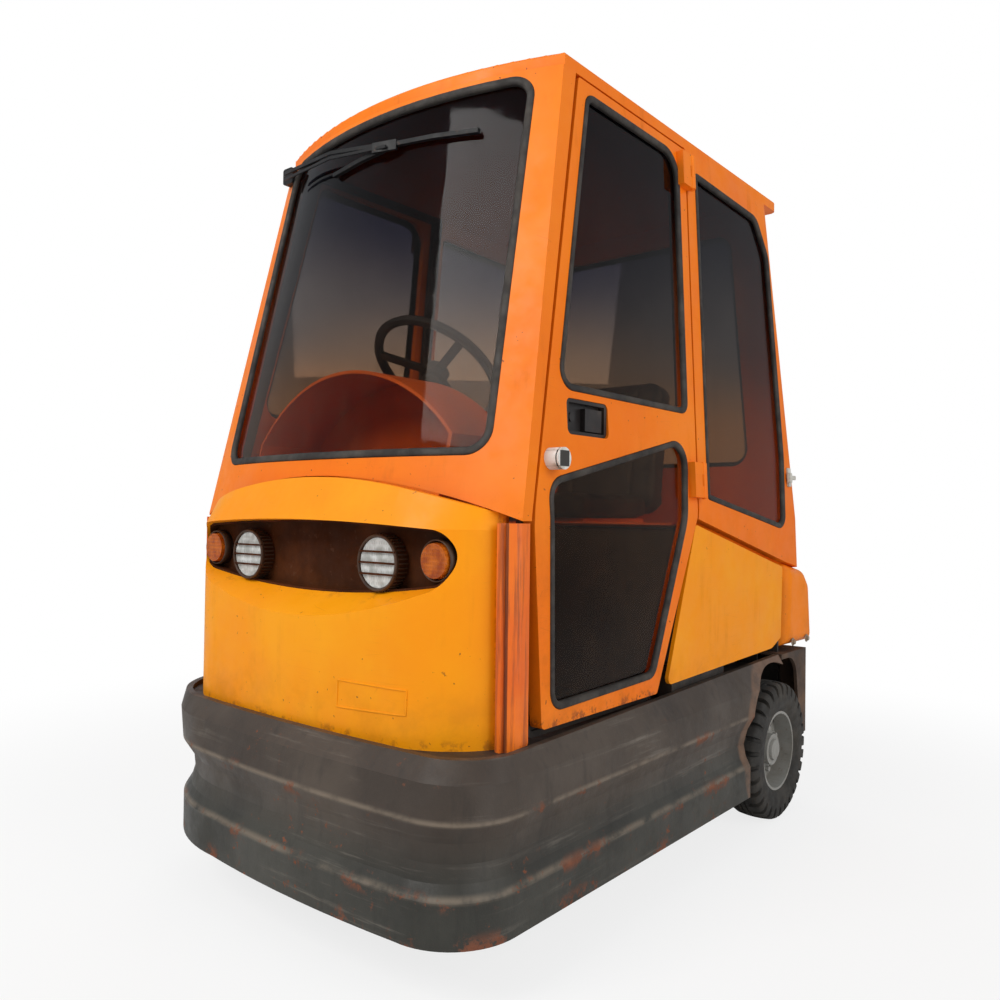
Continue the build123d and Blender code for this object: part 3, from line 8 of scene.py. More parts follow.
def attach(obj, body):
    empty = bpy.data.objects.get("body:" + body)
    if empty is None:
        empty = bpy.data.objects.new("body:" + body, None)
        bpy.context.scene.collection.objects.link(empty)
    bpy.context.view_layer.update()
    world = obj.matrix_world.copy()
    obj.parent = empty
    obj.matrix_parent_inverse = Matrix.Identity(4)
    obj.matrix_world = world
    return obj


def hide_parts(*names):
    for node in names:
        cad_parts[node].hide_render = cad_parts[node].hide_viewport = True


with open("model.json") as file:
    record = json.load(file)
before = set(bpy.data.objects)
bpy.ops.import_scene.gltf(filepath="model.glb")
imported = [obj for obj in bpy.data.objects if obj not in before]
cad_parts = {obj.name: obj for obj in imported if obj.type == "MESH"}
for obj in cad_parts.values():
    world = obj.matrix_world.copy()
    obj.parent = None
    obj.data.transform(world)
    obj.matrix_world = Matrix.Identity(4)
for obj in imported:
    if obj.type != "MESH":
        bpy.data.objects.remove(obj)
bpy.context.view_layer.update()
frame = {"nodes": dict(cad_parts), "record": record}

# ---------------------------------------------------------------- camera
YAW, PITCH, ROLL = math.radians(39.665), math.radians(0.775), math.radians(0.660)
fwd = Vector((-math.sin(YAW) * math.cos(PITCH), math.cos(YAW) * math.cos(PITCH), math.sin(PITCH)))
right = Vector((math.cos(YAW), math.sin(YAW), 0.0))
up = right.cross(fwd)
cam_x = math.cos(ROLL) * right + math.sin(ROLL) * up
cam_y = -math.sin(ROLL) * right + math.cos(ROLL) * up
cam_data = bpy.data.cameras.new("camera")
cam_data.lens = 31.065
cam_data.sensor_width = 36.0
cam = bpy.data.objects.new("camera", cam_data)
bpy.context.scene.collection.objects.link(cam)
turn = Matrix((cam_x, cam_y, -fwd)).transposed().to_4x4()
cam.matrix_world = Matrix.Translation((1.6093, -2.03, 0.9170)) @ turn
bpy.context.scene.camera = cam
bpy.context.scene.view_settings.view_transform = "Standard"

# ---------------------------------------------------------------- places of the solids, in metres
FRONT_WHEEL_X, FRONT_WHEEL_Y = 0.395, -0.500
REAR_WHEEL_X, REAR_WHEEL_Y = 0.547, 0.530
WHEEL_Z = 0.205
ARCH_CENTRE_Z = 0.238
UPPER_RIDGE_Z, LOWER_RIDGE_Z = 0.340, 0.206
LAMP_X, LAMP_Z, LAMP_R = 0.235, 0.805, 0.060
SIGNAL_X, SIGNAL_Z = 0.396, 0.816
STOP_Y, STOP_Z = -0.588, 1.028


# ---------------------------------------------------------------- materials
def srgb(*rgb):
    """A colour given in 0 to 255, as the linear values that a shader takes."""
    linear = [c / 255 / 12.92 if c <= 10 else ((c / 255 + 0.055) / 1.055) ** 2.4 for c in rgb]
    return (*linear, 1.0)


class Shader:
    """A principled material with short calls for its nodes."""

    def __init__(self, name):
        self.mat = bpy.data.materials.new(name)
        self.mat.use_nodes = True
        self.tree = self.mat.node_tree
        self.bsdf = self.tree.nodes["Principled BSDF"]
        self.coord = self.tree.nodes.new("ShaderNodeTexCoord").outputs["Object"]

    def node(self, kind, inputs=(), **attrs):
        n = self.tree.nodes.new(kind)
        for key, value in attrs.items():
            setattr(n, key, value)
        for key, value in dict(inputs).items():
            self.put(n.inputs[key], value)
        return n

    def put(self, socket, value):
        if isinstance(value, bpy.types.NodeSocket):
            self.tree.links.new(value, socket)
        else:
            socket.default_value = value

    def scaled(self, scale, shift=(0, 0, 0)):
        inputs = {"Vector": self.coord, "Scale": scale, "Location": shift}
        return self.node("ShaderNodeMapping", inputs).outputs[0]

    def noise(self, scale, detail=4.0, rough=0.55, vector=None):
        inputs = {"Vector": vector or self.coord, "Scale": scale, "Detail": detail, "Roughness": rough}
        return self.node("ShaderNodeTexNoise", inputs).outputs["Fac"]

    def cells(self, scale, vector=None, feature="DISTANCE_TO_EDGE"):
        inputs = {"Vector": vector or self.coord, "Scale": scale}
        return self.node("ShaderNodeTexVoronoi", inputs, feature=feature).outputs["Distance"]

    def waves(self, scale, direction):
        inputs = {"Vector": self.coord, "Scale": scale, "Distortion": 0.0}
        return self.node("ShaderNodeTexWave", inputs, bands_direction=direction).outputs["Fac"]

    def band(self, value, low, high, out_low=0.0, out_high=1.0):
        """Goes smoothly from out_low to out_high while the value goes from low to high."""
        inputs = {"Value": value, "From Min": low, "From Max": high, "To Min": out_low, "To Max": out_high}
        return self.node("ShaderNodeMapRange", inputs, interpolation_type="SMOOTHSTEP").outputs[0]

    def math(self, op, a, b):
        return self.node("ShaderNodeMath", {0: a, 1: b}, operation=op, use_clamp=True).outputs[0]

    def mix(self, fac, a, b):
        n = self.node("ShaderNodeMix", data_type="RGBA")
        self.put(n.inputs[0], fac)
        self.put(n.inputs[6], a)
        self.put(n.inputs[7], b)
        return n.outputs[2]

    def axis(self, letter):
        return self.node("ShaderNodeSeparateXYZ", {0: self.coord}).outputs[letter]

    def near(self, letter, centre, reach, soft=0.004):
        """1 where the object coordinate lies within reach of the centre."""
        away = self.node("ShaderNodeMath", {0: self.axis(letter), 1: centre}, operation="SUBTRACT")
        away = self.node("ShaderNodeMath", {0: away.outputs[0]}, operation="ABSOLUTE").outputs[0]
        return self.band(away, reach + soft, reach - soft)

    def all_of(self, *masks):
        out = masks[0]
        for mask in masks[1:]:
            out = self.math("MULTIPLY", out, mask)
        return out

    def any_of(self, *masks):
        out = masks[0]
        for mask in masks[1:]:
            out = self.math("MAXIMUM", out, mask)
        return out

    def bump(self, height, strength=0.3, distance=0.002, normal=None):
        inputs = {"Height": height, "Strength": strength, "Distance": distance}
        if normal:
            inputs["Normal"] = normal
        return self.node("ShaderNodeBump", inputs).outputs[0]

    def finish(self, **sockets):
        for key, value in sockets.items():
            self.put(self.bsdf.inputs[key.replace("_", " ")], value)
        return self.mat


def enamel(name, colour, faded, grime, rust, low, high, rusty):
    """Weathered paint, dirtier from high down to low; rusty makes a mask of the rusty places."""
    s = Shader(name)
    grime_amount = 0.35
    base = s.mix(s.band(s.noise(2.3, 5, 0.6), 0.35, 0.68), colour, faded)
    streak = s.band(s.noise(1.0, 5, 0.6, s.scaled((26, 26, 1.6))), 0.50, 0.74)
    cloud = s.band(s.noise(7.0, 6, 0.65), 0.42, 0.72)
    height = s.band(s.axis("Z"), high, low)
    dirt = s.any_of(s.all_of(streak, cloud), s.all_of(height, cloud))
    dirt = s.math("MULTIPLY", dirt, grime_amount)
    base = s.mix(dirt, base, grime)
    dust = s.math("MULTIPLY", s.band(s.noise(38.0, 4, 0.7), 0.48, 0.78), 0.16)
    base = s.mix(dust, base, faded)
    chips = s.band(s.noise(75.0, 3, 0.5), 0.70, 0.73)
    chipped_places = s.band(s.noise(5.0, 3, 0.6, s.scaled((1, 1, 1), (3, 7, 1))), 0.48, 0.6)
    chips = s.math("MULTIPLY", chips, chipped_places)
    scratch = s.band(s.cells(9.0, s.scaled((0.35, 0.35, 7.0))), 0.006, 0.0)
    scratch = s.math("MULTIPLY", scratch, s.band(s.noise(6.0, 2), 0.55, 0.66))
    base = s.mix(s.math("MULTIPLY", scratch, 0.4), base, grime)
    chips = s.any_of(chips, rusty(s))
    base = s.mix(chips, base, s.mix(s.noise(55.0, 4), rust, grime))
    roughness = s.band(s.noise(11.0, 5, 0.7), 0.3, 0.75, 0.34, 0.58)
    roughness = s.math("ADD", roughness, s.math("MULTIPLY", dirt, 0.5))
    fine = s.math("MULTIPLY", s.noise(260.0, 2, 0.5), 0.35)
    peel = s.math("ADD", fine, s.math("MULTIPLY", s.noise(6.0, 2, 0.5), 0.65))
    normal = s.bump(peel, 0.10, 0.002)
    normal = s.bump(chips, -0.5, 0.0006, normal)
    return s.finish(Base_Color=base, Roughness=roughness, Normal=normal, Specular_IOR_Level=0.2)


def side_rust(s):
    """Rust and dirt along the doors' lower edges and the sill."""
    ragged = s.noise(30.0, 5, 0.7)
    low = s.band(s.axis("Z"), 0.504, 0.482)
    return s.all_of(low, s.band(ragged, 0.48, 0.62), 0.8)


def nose_rust(s):
    """Rust at the nose's foot, dirt under its recess and down its rear edge."""
    ragged = s.noise(26.0, 5, 0.7)
    low = s.all_of(s.band(s.axis("Z"), 0.466, 0.448), s.band(ragged, 0.50, 0.64), 0.6)
    smudge = s.band(s.noise(18.0, 6, 0.7), 0.54, 0.62)
    lip = s.all_of(s.near("Z", 0.735, 0.010, 0.010), s.near("X", 0.0, 0.36, 0.03), smudge)
    lip = s.all_of(lip, s.band(s.axis("Y"), -0.815, -0.795), 0.5)
    rear = s.all_of(s.band(s.near("X", 0.0, 0.497, 0.003), 1.0, 0.0), s.band(ragged, 0.42, 0.58), 0.6)
    return s.math("MULTIPLY", s.any_of(low, lip, rear), s.band(s.axis("Y"), -0.60, -0.62))


def jamb_paint():
    """Rebates behind the doors painted black as the shade of the door gaps, and the orange, rust-streaked
    posts beside the nose.
    """
    s = Shader("jamb_paint")
    # the black of the rebates is painted shade for the gaps round the doors
    black = s.mix(s.band(s.noise(5.0, 6, 0.65), 0.38, 0.7), srgb(34, 31, 29), srgb(62, 54, 46))
    orange = s.mix(s.band(s.noise(4.0, 5, 0.6), 0.35, 0.68), srgb(240, 118, 14), srgb(228, 100, 12))
    streak = s.band(s.noise(1.0, 6, 0.7, s.scaled((60, 60, 2.2))), 0.47, 0.60)
    rust = s.mix(s.noise(50.0, 4), srgb(96, 46, 26), srgb(150, 72, 34))
    orange = s.mix(s.math("MULTIPLY", streak, 0.6), orange, rust)
    # painted shade: a dark line down the groove in each post's front
    at_front = s.band(s.axis("Y"), -0.708, -0.700)
    groove_shade = s.any_of(*(s.all_of(s.near("X", x, 0.0045, 0.001), at_front) for x in (0.530, -0.530)))
    orange = s.mix(groove_shade, orange, srgb(44, 24, 16))
    post = s.all_of(s.band(s.axis("Y"), -0.655, -0.662), s.band(s.axis("Z"), 0.900, 0.894))
    base = s.mix(post, black, orange)
    rough = s.band(s.noise(14.0, 5, 0.7), 0.3, 0.75, 0.42, 0.75)
    return s.finish(Base_Color=base, Roughness=rough, Normal=s.bump(s.noise(200.0, 3, 0.6), 0.25, 0.001))


def dash_paint():
    """Orange cover with a black column through it."""
    s = Shader("dash_paint")
    orange = s.mix(s.band(s.noise(3.0, 5, 0.6), 0.35, 0.68), srgb(250, 128, 20), srgb(240, 112, 16))
    dusty = s.math("MULTIPLY", s.band(s.noise(24.0, 5, 0.7), 0.45, 0.75), 0.3)
    orange = s.mix(dusty, orange, srgb(200, 126, 62))
    black = s.mix(s.noise(30.0, 4), srgb(26, 25, 24), srgb(48, 45, 42))
    column = s.all_of(s.near("X", 0.0, 0.030, 0.001), s.band(s.axis("Y"), -0.478, -0.472))
    base = s.mix(column, orange, black)
    rough = s.band(s.noise(14.0, 4), 0.3, 0.7, 0.45, 0.62)
    return s.finish(Base_Color=base, Roughness=rough, Normal=s.bump(s.noise(240.0, 3), 0.2, 0.001))


def fitting_paint():
    """Black handle mouldings, and the white door stop with its dark end."""
    s = Shader("door_fitting")
    black = s.mix(s.band(s.noise(12.0, 5, 0.6), 0.4, 0.72), srgb(30, 25, 24), srgb(60, 50, 44))
    white = s.mix(s.band(s.noise(30.0, 4), 0.45, 0.7), srgb(222, 220, 214), srgb(168, 160, 146))
    stop = s.all_of(s.near("Y", STOP_Y, 0.028, 0.002), s.near("Z", STOP_Z, 0.028, 0.002))
    end = s.all_of(s.near("Y", STOP_Y, 0.0165, 0.001), s.near("Z", STOP_Z, 0.0165, 0.001))
    base = s.mix(stop, black, white)
    base = s.mix(s.all_of(end, stop), base, srgb(52, 48, 44))
    rough = s.band(s.noise(22.0, 4), 0.3, 0.7, 0.34, 0.52)
    return s.finish(Base_Color=base, Roughness=rough, Normal=s.bump(s.noise(380.0, 3), 0.15, 0.0006))


def skirt_paint():
    """Brown-grey paint above, green-grey below; rust at the ridges and foot, brown dirt at the arch."""
    s = Shader("skirt_grey")
    upper = s.mix(s.band(s.noise(3.0, 6, 0.6), 0.35, 0.7), srgb(60, 51, 44), srgb(80, 70, 61))
    lower = s.mix(s.band(s.noise(3.4, 6, 0.6), 0.3, 0.7), srgb(42, 42, 38), srgb(64, 63, 57))
    base = s.mix(s.band(s.axis("Z"), 0.345, 0.205), upper, lower)
    scuff = s.band(s.noise(1.0, 6, 0.7, s.scaled((2.2, 2.2, 46.0))), 0.54, 0.74)
    scuff = s.math("MULTIPLY", scuff, s.band(s.noise(2.8, 4, 0.6), 0.42, 0.62))
    base = s.mix(s.math("MULTIPLY", scuff, 0.55), base, srgb(132, 124, 114))
    stripes = s.band(s.noise(1.0, 5, 0.65, s.scaled((30, 30, 2.4))), 0.50, 0.72)
    base = s.mix(s.math("MULTIPLY", stripes, 0.35), base, srgb(38, 36, 34))
    # a light line just above each ridge: worn paint on the edge, and partly a painted highlight
    above = 0.006
    wear_and_painted_highlight = s.any_of(
        s.near("Z", UPPER_RIDGE_Z + above, 0.004, 0.005),
        s.near("Z", LOWER_RIDGE_Z + above, 0.005, 0.006),
    )
    wear_and_painted_highlight = s.math("MULTIPLY", wear_and_painted_highlight, s.band(s.noise(5.0, 5, 0.7), 0.36, 0.56))
    base = s.mix(s.math("MULTIPLY", wear_and_painted_highlight, 0.6), base, srgb(136, 122, 106))
    foot = s.band(s.axis("Z"), 0.160, 0.124)
    ridges = s.any_of(*(s.near("Z", z, 0.010, 0.012) for z in (UPPER_RIDGE_Z, LOWER_RIDGE_Z)))
    patch = s.band(s.noise(8.0, 7, 0.74), 0.54, 0.60)
    spots = s.band(s.noise(46.0, 5, 0.65), 0.62, 0.67)
    inputs = {0: s.coord, 1: (0, 1, 1), 2: (0, -REAR_WHEEL_Y, -ARCH_CENTRE_Z)}
    from_wheel = s.node("ShaderNodeVectorMath", inputs, operation="MULTIPLY_ADD").outputs[0]
    from_wheel = s.node("ShaderNodeVectorMath", {0: from_wheel}, operation="LENGTH").outputs["Value"]
    near_arch = s.all_of(s.band(from_wheel, 0.275, 0.258), s.band(s.noise(14.0, 6, 0.7), 0.26, 0.52), 0.8)
    base = s.mix(near_arch, base, s.mix(s.noise(40.0, 4), srgb(92, 66, 48), srgb(132, 102, 80)))
    rust = s.any_of(
        s.all_of(s.any_of(foot, ridges), patch),
        s.all_of(spots, s.band(s.noise(4.0, 3), 0.5, 0.6)),
    )
    big = s.band(s.noise(2.4, 7, 0.76, s.scaled((1, 1, 1.9), (0.4, 0.9, 0.2))), 0.60, 0.64)
    big = s.all_of(big, s.band(s.axis("Z"), 0.30, 0.24), s.band(s.axis("Y"), -0.90, -0.80))
    rust = s.any_of(rust, s.math("MULTIPLY", big, 0.85))
    rust_colour = s.mix(s.noise(60.0, 4), srgb(88, 52, 38), srgb(146, 86, 58))
    base = s.mix(s.math("MULTIPLY", rust, 0.9), base, rust_colour)
    rough = s.band(s.noise(9.0, 5, 0.7), 0.3, 0.75, 0.36, 0.62)
    rough = s.math("ADD", rough, s.math("MULTIPLY", rust, 0.35))
    dents = s.math("MULTIPLY", s.noise(5.5, 3, 0.5), 0.8)
    dents = s.math("ADD", dents, s.math("MULTIPLY", s.noise(160.0, 3, 0.6), 0.1))
    normal = s.bump(dents, 0.30, 0.010)
    normal = s.bump(rust, -0.6, 0.0008, normal)
    return s.finish(Base_Color=base, Roughness=rough, Normal=normal, Specular_IOR_Level=0.35)


def dark_metal(name, colour, dusty, rough=0.5, grain=240.0, specular=0.35):
    s = Shader(name)
    base = s.mix(s.band(s.noise(5.0, 6, 0.65), 0.38, 0.7), colour, dusty)
    base = s.mix(s.math("MULTIPLY", s.band(s.noise(60.0, 4, 0.6), 0.6, 0.72), 0.35), base, srgb(96, 66, 48))
    rough = s.band(s.noise(14.0, 5, 0.7), 0.3, 0.75, rough - 0.1, rough + 0.2)
    normal = s.bump(s.noise(grain, 3, 0.6), 0.25, 0.001)
    return s.finish(Base_Color=base, Roughness=rough, Specular_IOR_Level=specular, Normal=normal)


def plastic(name, colour, worn, rough, grain=520.0, strength=0.25):
    s = Shader(name)
    base = s.mix(s.band(s.noise(8.0, 5, 0.6), 0.4, 0.72), colour, worn)
    base = s.mix(s.math("MULTIPLY", s.band(s.noise(90.0, 3), 0.62, 0.75), 0.3), base, worn)
    rough = s.band(s.noise(22.0, 4), 0.3, 0.7, rough - 0.08, rough + 0.14)
    normal = s.bump(s.cells(grain, feature="F1"), strength, 0.0006)
    return s.finish(Base_Color=base, Roughness=rough, Normal=normal)


def rubber(name, colour, dusty, tread=False):
    s = Shader(name)
    base = s.mix(s.band(s.noise(12.0, 6, 0.7), 0.38, 0.68), colour, dusty)
    if tread:
        dusty_places = s.math("MULTIPLY", s.band(s.noise(4.0, 5, 0.7), 0.5, 0.68), 0.35)
        base = s.mix(dusty_places, base, srgb(88, 80, 70))
    rough = s.band(s.noise(30.0, 4), 0.3, 0.7, 0.62, 0.88)
    return s.finish(Base_Color=base, Roughness=rough, Normal=s.bump(s.noise(300.0, 4, 0.6), 0.3, 0.001))


def glass(name, high, middle, low, dusty):
    """Tinted glass under a film of dust, whose colour turns darker and bluer with height as a painted
    reflection.
    """
    s = Shader(name)
    dust = 0.04
    film = s.math("MULTIPLY", s.band(s.noise(5.0, 6, 0.7), 0.40, 0.75), dust)
    wipe = s.math("MULTIPLY", s.band(s.noise(1.0, 5, 0.6, s.scaled((30, 30, 2.0))), 0.5, 0.8), dust)
    film = s.math("ADD", film, wipe)
    # the colour going from warm below to dark blue above is a painted reflection
    tint_and_painted_reflection = s.mix(s.band(s.axis("Z"), 1.15, 1.45), low, middle)
    tint_and_painted_reflection = s.mix(s.band(s.axis("Z"), 1.45, 1.88), tint_and_painted_reflection, high)
    base = s.mix(film, tint_and_painted_reflection, dusty)
    clear = s.math("SUBTRACT", 1.0, s.math("MULTIPLY", film, 0.6))
    rough = s.band(s.noise(16.0, 5, 0.7), 0.3, 0.8, 0.02, 0.07)
    return s.finish(Base_Color=base, Roughness=rough, IOR=1.16, Transmission_Weight=clear)


def lens(name, colour, deep, clear=0.3, ribs=60.0):
    """Moulded lamp glass with a grid of ribs, with painted shade in the troughs between them."""
    s = Shader(name)
    base = s.mix(s.band(s.noise(40.0, 3), 0.3, 0.7), colour, deep)
    grid = s.math("MAXIMUM", s.waves(ribs, "X"), s.waves(ribs * 0.6, "Z"))
    # painted shade: the troughs between the ribs turn towards the deep colour
    base = s.mix(s.math("MULTIPLY", s.band(grid, 0.75, 0.3), 0.35), base, deep)
    normal = s.bump(grid, 0.6, 0.001)
    return s.finish(Base_Color=base, Roughness=0.12, Transmission_Weight=clear, IOR=1.45, Normal=normal)


def vinyl(name, colour, worn):
    s = Shader(name)
    base = s.mix(s.band(s.noise(7.0, 5, 0.6), 0.4, 0.75), colour, worn)
    grain = s.math("MULTIPLY", s.cells(420.0, feature="F1"), 0.8)
    grain = s.math("ADD", grain, s.math("MULTIPLY", s.noise(90.0, 3), 0.2))
    rough = s.band(s.noise(26.0, 4), 0.3, 0.7, 0.42, 0.6)
    return s.finish(Base_Color=base, Roughness=rough, Normal=s.bump(grain, 0.4, 0.0008))


ORANGE = enamel("cab_orange", srgb(240, 116, 8), srgb(246, 130, 18), srgb(158, 80, 26), srgb(104, 54, 32),
                low=0.5, high=1.15, rusty=side_rust)
YELLOW = enamel("body_yellow", srgb(247, 148, 6), srgb(250, 162, 12), srgb(180, 104, 24), srgb(108, 56, 32),
                low=0.45, high=0.62, rusty=nose_rust)
REAR_PAINT = enamel("rear_orange", srgb(246, 132, 8), srgb(248, 142, 16), srgb(160, 88, 28),
                    srgb(104, 54, 32), low=0.5, high=0.8, rusty=side_rust)
SKIRT = skirt_paint()
JAMB = jamb_paint()
DASH_COVER = dash_paint()
BLACK = dark_metal("frame_black", srgb(36, 33, 31), srgb(64, 57, 50))
GREY_BOX = dark_metal("battery_grey", srgb(70, 72, 74), srgb(96, 94, 90))
CAST = dark_metal("cast_grey", srgb(74, 70, 67), srgb(98, 92, 85), rough=0.6, grain=120.0)
RIM = dark_metal("rim_grey", srgb(146, 145, 140), srgb(120, 115, 106), rough=0.45)
# the glass's high, middle and low colours make a painted reflection gradient
GLASS = glass("tinted_glass", srgb(46, 47, 64), srgb(112, 107, 105), srgb(152, 124, 98), srgb(96, 90, 86))
LAMP_GLASS = lens("lamp_glass", srgb(232, 233, 230), srgb(176, 176, 170), clear=0.15, ribs=42.0)
AMBER = lens("amber_lens", srgb(226, 120, 26), srgb(170, 74, 14))
RED = lens("red_lens", srgb(180, 30, 20), srgb(120, 14, 10))
TYRE = rubber("tyre_rubber", srgb(36, 34, 31), srgb(54, 50, 44), tread=True)
SEAL = rubber("seal_rubber", srgb(38, 34, 31), srgb(66, 60, 54))
LAMP_BLACK = plastic("lamp_black", srgb(46, 28, 16), srgb(82, 56, 36), rough=0.55)
PLASTIC = plastic("dash_plastic", srgb(30, 29, 28), srgb(52, 49, 46), rough=0.55)
FITTING = fitting_paint()
WIPER = dark_metal("wiper_black", srgb(14, 14, 16), srgb(30, 29, 30), rough=0.5)
VINYL = vinyl("seat_vinyl", srgb(30, 29, 29), srgb(58, 54, 51))
WHITE = plastic("white_plastic", srgb(222, 220, 212), srgb(184, 178, 166), rough=0.4, strength=0.1)
# the headlamp recesses are painted dark brown: painted shade inside the recess
RECESS_SHADE = dark_metal("recess_painted_shade", srgb(56, 25, 4), srgb(84, 42, 12), rough=0.75, specular=0.15)
GUARD = dark_metal("mudguard_brown", srgb(62, 50, 42), srgb(112, 84, 62), rough=0.65)
BOLT = dark_metal("bolt_steel", srgb(150, 132, 112), srgb(112, 90, 70), rough=0.45)
SLOT_MATERIAL = {
    "cab_orange": ORANGE, "body_yellow": YELLOW, "skirt_grey": SKIRT, "frame_black": BLACK,
    "battery_grey": GREY_BOX, "cast_grey": CAST, "rim_grey": RIM, "tyre_rubber": TYRE,
    "tinted_glass": GLASS, "lamp_glass": LAMP_GLASS, "amber_lens": AMBER, "red_lens": RED,
    "lamp_black": LAMP_BLACK, "dash_plastic": PLASTIC, "fitting_plastic": FITTING,
    "wiper_black": WIPER, "seat_vinyl": VINYL,
}
NODE_MATERIAL = {
    "door_jambs": JAMB, "dash_column": DASH_COVER, "rear_body": REAR_PAINT, "headlamps": RECESS_SHADE,
    "mudguards": GUARD,
}
for part in frame["record"]["subparts"]:
    node = frame["nodes"][part["node"]]
    node.data.materials.clear()
    node.data.materials.append(NODE_MATERIAL.get(part["node"], SLOT_MATERIAL[part["material_slot"]]))
    # the lamps shine through the windows
    if part["material_slot"] == "tinted_glass":
        node.visible_shadow = False

# ---------------------------------------------------------------- the cab's leaning surfaces
BELT_Z, ROOF_Z = 0.905, 1.950


def leaning(z, belt, roof):
    return belt + (roof - belt) * (max(z, BELT_Z) - BELT_Z) / (ROOF_Z - BELT_Z)


def side_x(z):
    return leaning(z, 0.557, 0.4875)


def front_y(x, z):
    corner = leaning(z, -0.690, -0.467)
    middle = leaning(z, -0.785, -0.565)
    return middle + (corner - middle) * (x / side_x(z)) ** 2


def rear_y(z):
    return 0.782 + (0.667 - 0.782) * (z - BELT_Z) / (ROOF_Z - BELT_Z)


def on_left(y, z):
    return Vector((side_x(z), y, z))


def on_right(y, z):
    return Vector((-side_x(z), y, z))


def on_front(x, z):
    return Vector((x, front_y(x, z), z))


def on_rear(x, z):
    return Vector((x, rear_y(z), z))


def join_rings(bm, rings):
    """Faces between each ring of vertices and the next."""
    for i, one in enumerate(rings):
        two = rings[(i + 1) % len(rings)]
        for k in range(len(one)):
            j = (k + 1) % len(one)
            bm.faces.new((one[k], one[j], two[j], two[k]))


def piece(name, bm, material, body, smooth=True):
    """The mesh as an object on a body of the frame."""
    mesh = bpy.data.meshes.new(name)
    bm.normal_update()
    bm.to_mesh(mesh)
    bm.free()
    obj = bpy.data.objects.new(name, mesh)
    bpy.context.scene.collection.objects.link(obj)
    mesh.materials.append(material)
    for face in mesh.polygons:
        face.use_smooth = smooth
    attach(obj, body)
    return obj


def rounded_loop(corners):
    """Points round a polygon whose corners (a, b, radius) are rounded with arcs."""
    step, longest = 0.012, 0.06
    points = []
    count = len(corners)
    for i, (a, b, radius) in enumerate(corners):
        here = Vector((a, b))
        back = Vector(corners[i - 1][:2]) - here
        ahead = Vector(corners[(i + 1) % count][:2]) - here
        half = back.angle(ahead) / 2
        reach = min(radius / math.tan(half), 0.49 * back.length, 0.49 * ahead.length)
        radius = reach * math.tan(half)
        back.normalize()
        ahead.normalize()
        centre = here + (back + ahead).normalized() * radius / math.sin(half)
        start = here + back * reach - centre
        end = here + ahead * reach - centre
        sweep = math.pi - 2 * half
        turn_sign = 1 if start.x * end.y - start.y * end.x > 0 else -1
        steps = max(3, int(sweep * radius / step) + 1)
        for k in range(steps + 1):
            angle = turn_sign * sweep * k / steps
            c, s = math.cos(angle), math.sin(angle)
            points.append(centre + Vector((start.x * c - start.y * s, start.x * s + start.y * c)))
    out = []
    for i, p in enumerate(points):
        q = points[(i + 1) % len(points)]
        parts = max(1, int((q - p).length / longest))
        out.extend(p.lerp(q, k / parts) for k in range(parts))
    return out


def gasket(name, body, corners, surface, width=0.017):
    """A rubber strip along a window's edge, rounded on its outside."""
    proud, deep = 0.004, 0.008
    probe = 0.004
    loop = rounded_loop(corners)
    path = [surface(p.x, p.y) for p in loop]
    middle = sum(path, Vector()) / len(path)
    bm = bmesh.new()
    rings = []
    # inward from the window's edge, out of the surface
    profile = [
        (0.001, -deep), (0.001, proud * 0.6), (width * 0.22, proud),
        (width * 0.62, proud * 0.85), (width * 0.9, proud * 0.2), (width, -deep),
    ]
    count = len(path)
    for i, p in enumerate(path):
        along = (path[(i + 1) % count] - path[i - 1]).normalized()
        u, v = loop[i].x, loop[i].y
        du = surface(u + probe, v) - surface(u - probe, v)
        dv = surface(u, v + probe) - surface(u, v - probe)
        normal = du.cross(dv).normalized()
        if normal.dot(p - Vector((0, 0, p.z))) < 0:
            normal.negate()
        inward = normal.cross(along).normalized()
        if inward.dot(middle - p) < 0:
            inward.negate()
        rings.append([bm.verts.new(p + inward * a + normal * b) for a, b in profile])
    join_rings(bm, rings)
    bmesh.ops.recalc_face_normals(bm, faces=bm.faces[:])
    piece(name, bm, SEAL, body)


def millis(table):
    return [tuple(value / 1000 for value in row) for row in table]


# corners of each window: along, up, radius, in millimetres
UPPER = millis([(-553, 1180, 45), (-388, 1888, 38), (55, 1888, 75), (30, 1178, 32)])
LOWER = millis([(-592, 504, 42), (-600, 985, 55), (22, 1120, 62), (0, 900, 220), (-165, 516, 42)])
SIDE = millis([
    (122, 957, 14), (147, 1868, 14), (560, 1855, 60), (640, 1745, 90), (672, 1100, 300), (654, 868, 42),
])
SCREEN = millis([(-470, 1033, 55), (-434, 1907, 62), (434, 1907, 62), (470, 1033, 55)])
REAR = millis([(-400, 1080, 60), (-365, 1850, 60), (365, 1850, 60), (400, 1080, 60)])
for tag, surface in (("left", on_left), ("right", on_right)):
    gasket("gasket_upper_" + tag, "door_" + tag, UPPER, surface)
    gasket("gasket_lower_" + tag, "door_" + tag, LOWER, surface)
    gasket("gasket_side_" + tag, "chassis", SIDE, surface)
gasket("gasket_screen", "chassis", SCREEN, on_front, width=0.020)
gasket("gasket_rear", "chassis", REAR, on_rear)


# ---------------------------------------------------------------- small parts on the body
def circle_through(p, q, r):
    """Centre and radius of the circle through three points of the plan."""
    ax, ay = q[0] - p[0], q[1] - p[1]
    bx, by = r[0] - p[0], r[1] - p[1]
    d = 2 * (ax * by - ay * bx)
    ux = (by * (ax * ax + ay * ay) - ay * (bx * bx + by * by)) / d
    uy = (ax * (bx * bx + by * by) - bx * (ax * ax + ay * ay)) / d
    return p[0] + ux, p[1] + uy, math.hypot(ux, uy)


NOSE_MIDDLE = circle_through((-0.300, -0.823), (0.0, -0.840), (0.300, -0.823))
NOSE_CORNER = circle_through((0.300, -0.823), (0.435, -0.774), (0.506, -0.680))


def nose_y(x):
    cx, cy, r = NOSE_MIDDLE if abs(x) < 0.300 else NOSE_CORNER
    return cy - math.sqrt(max(r * r - (abs(x) - cx) ** 2, 0.0))


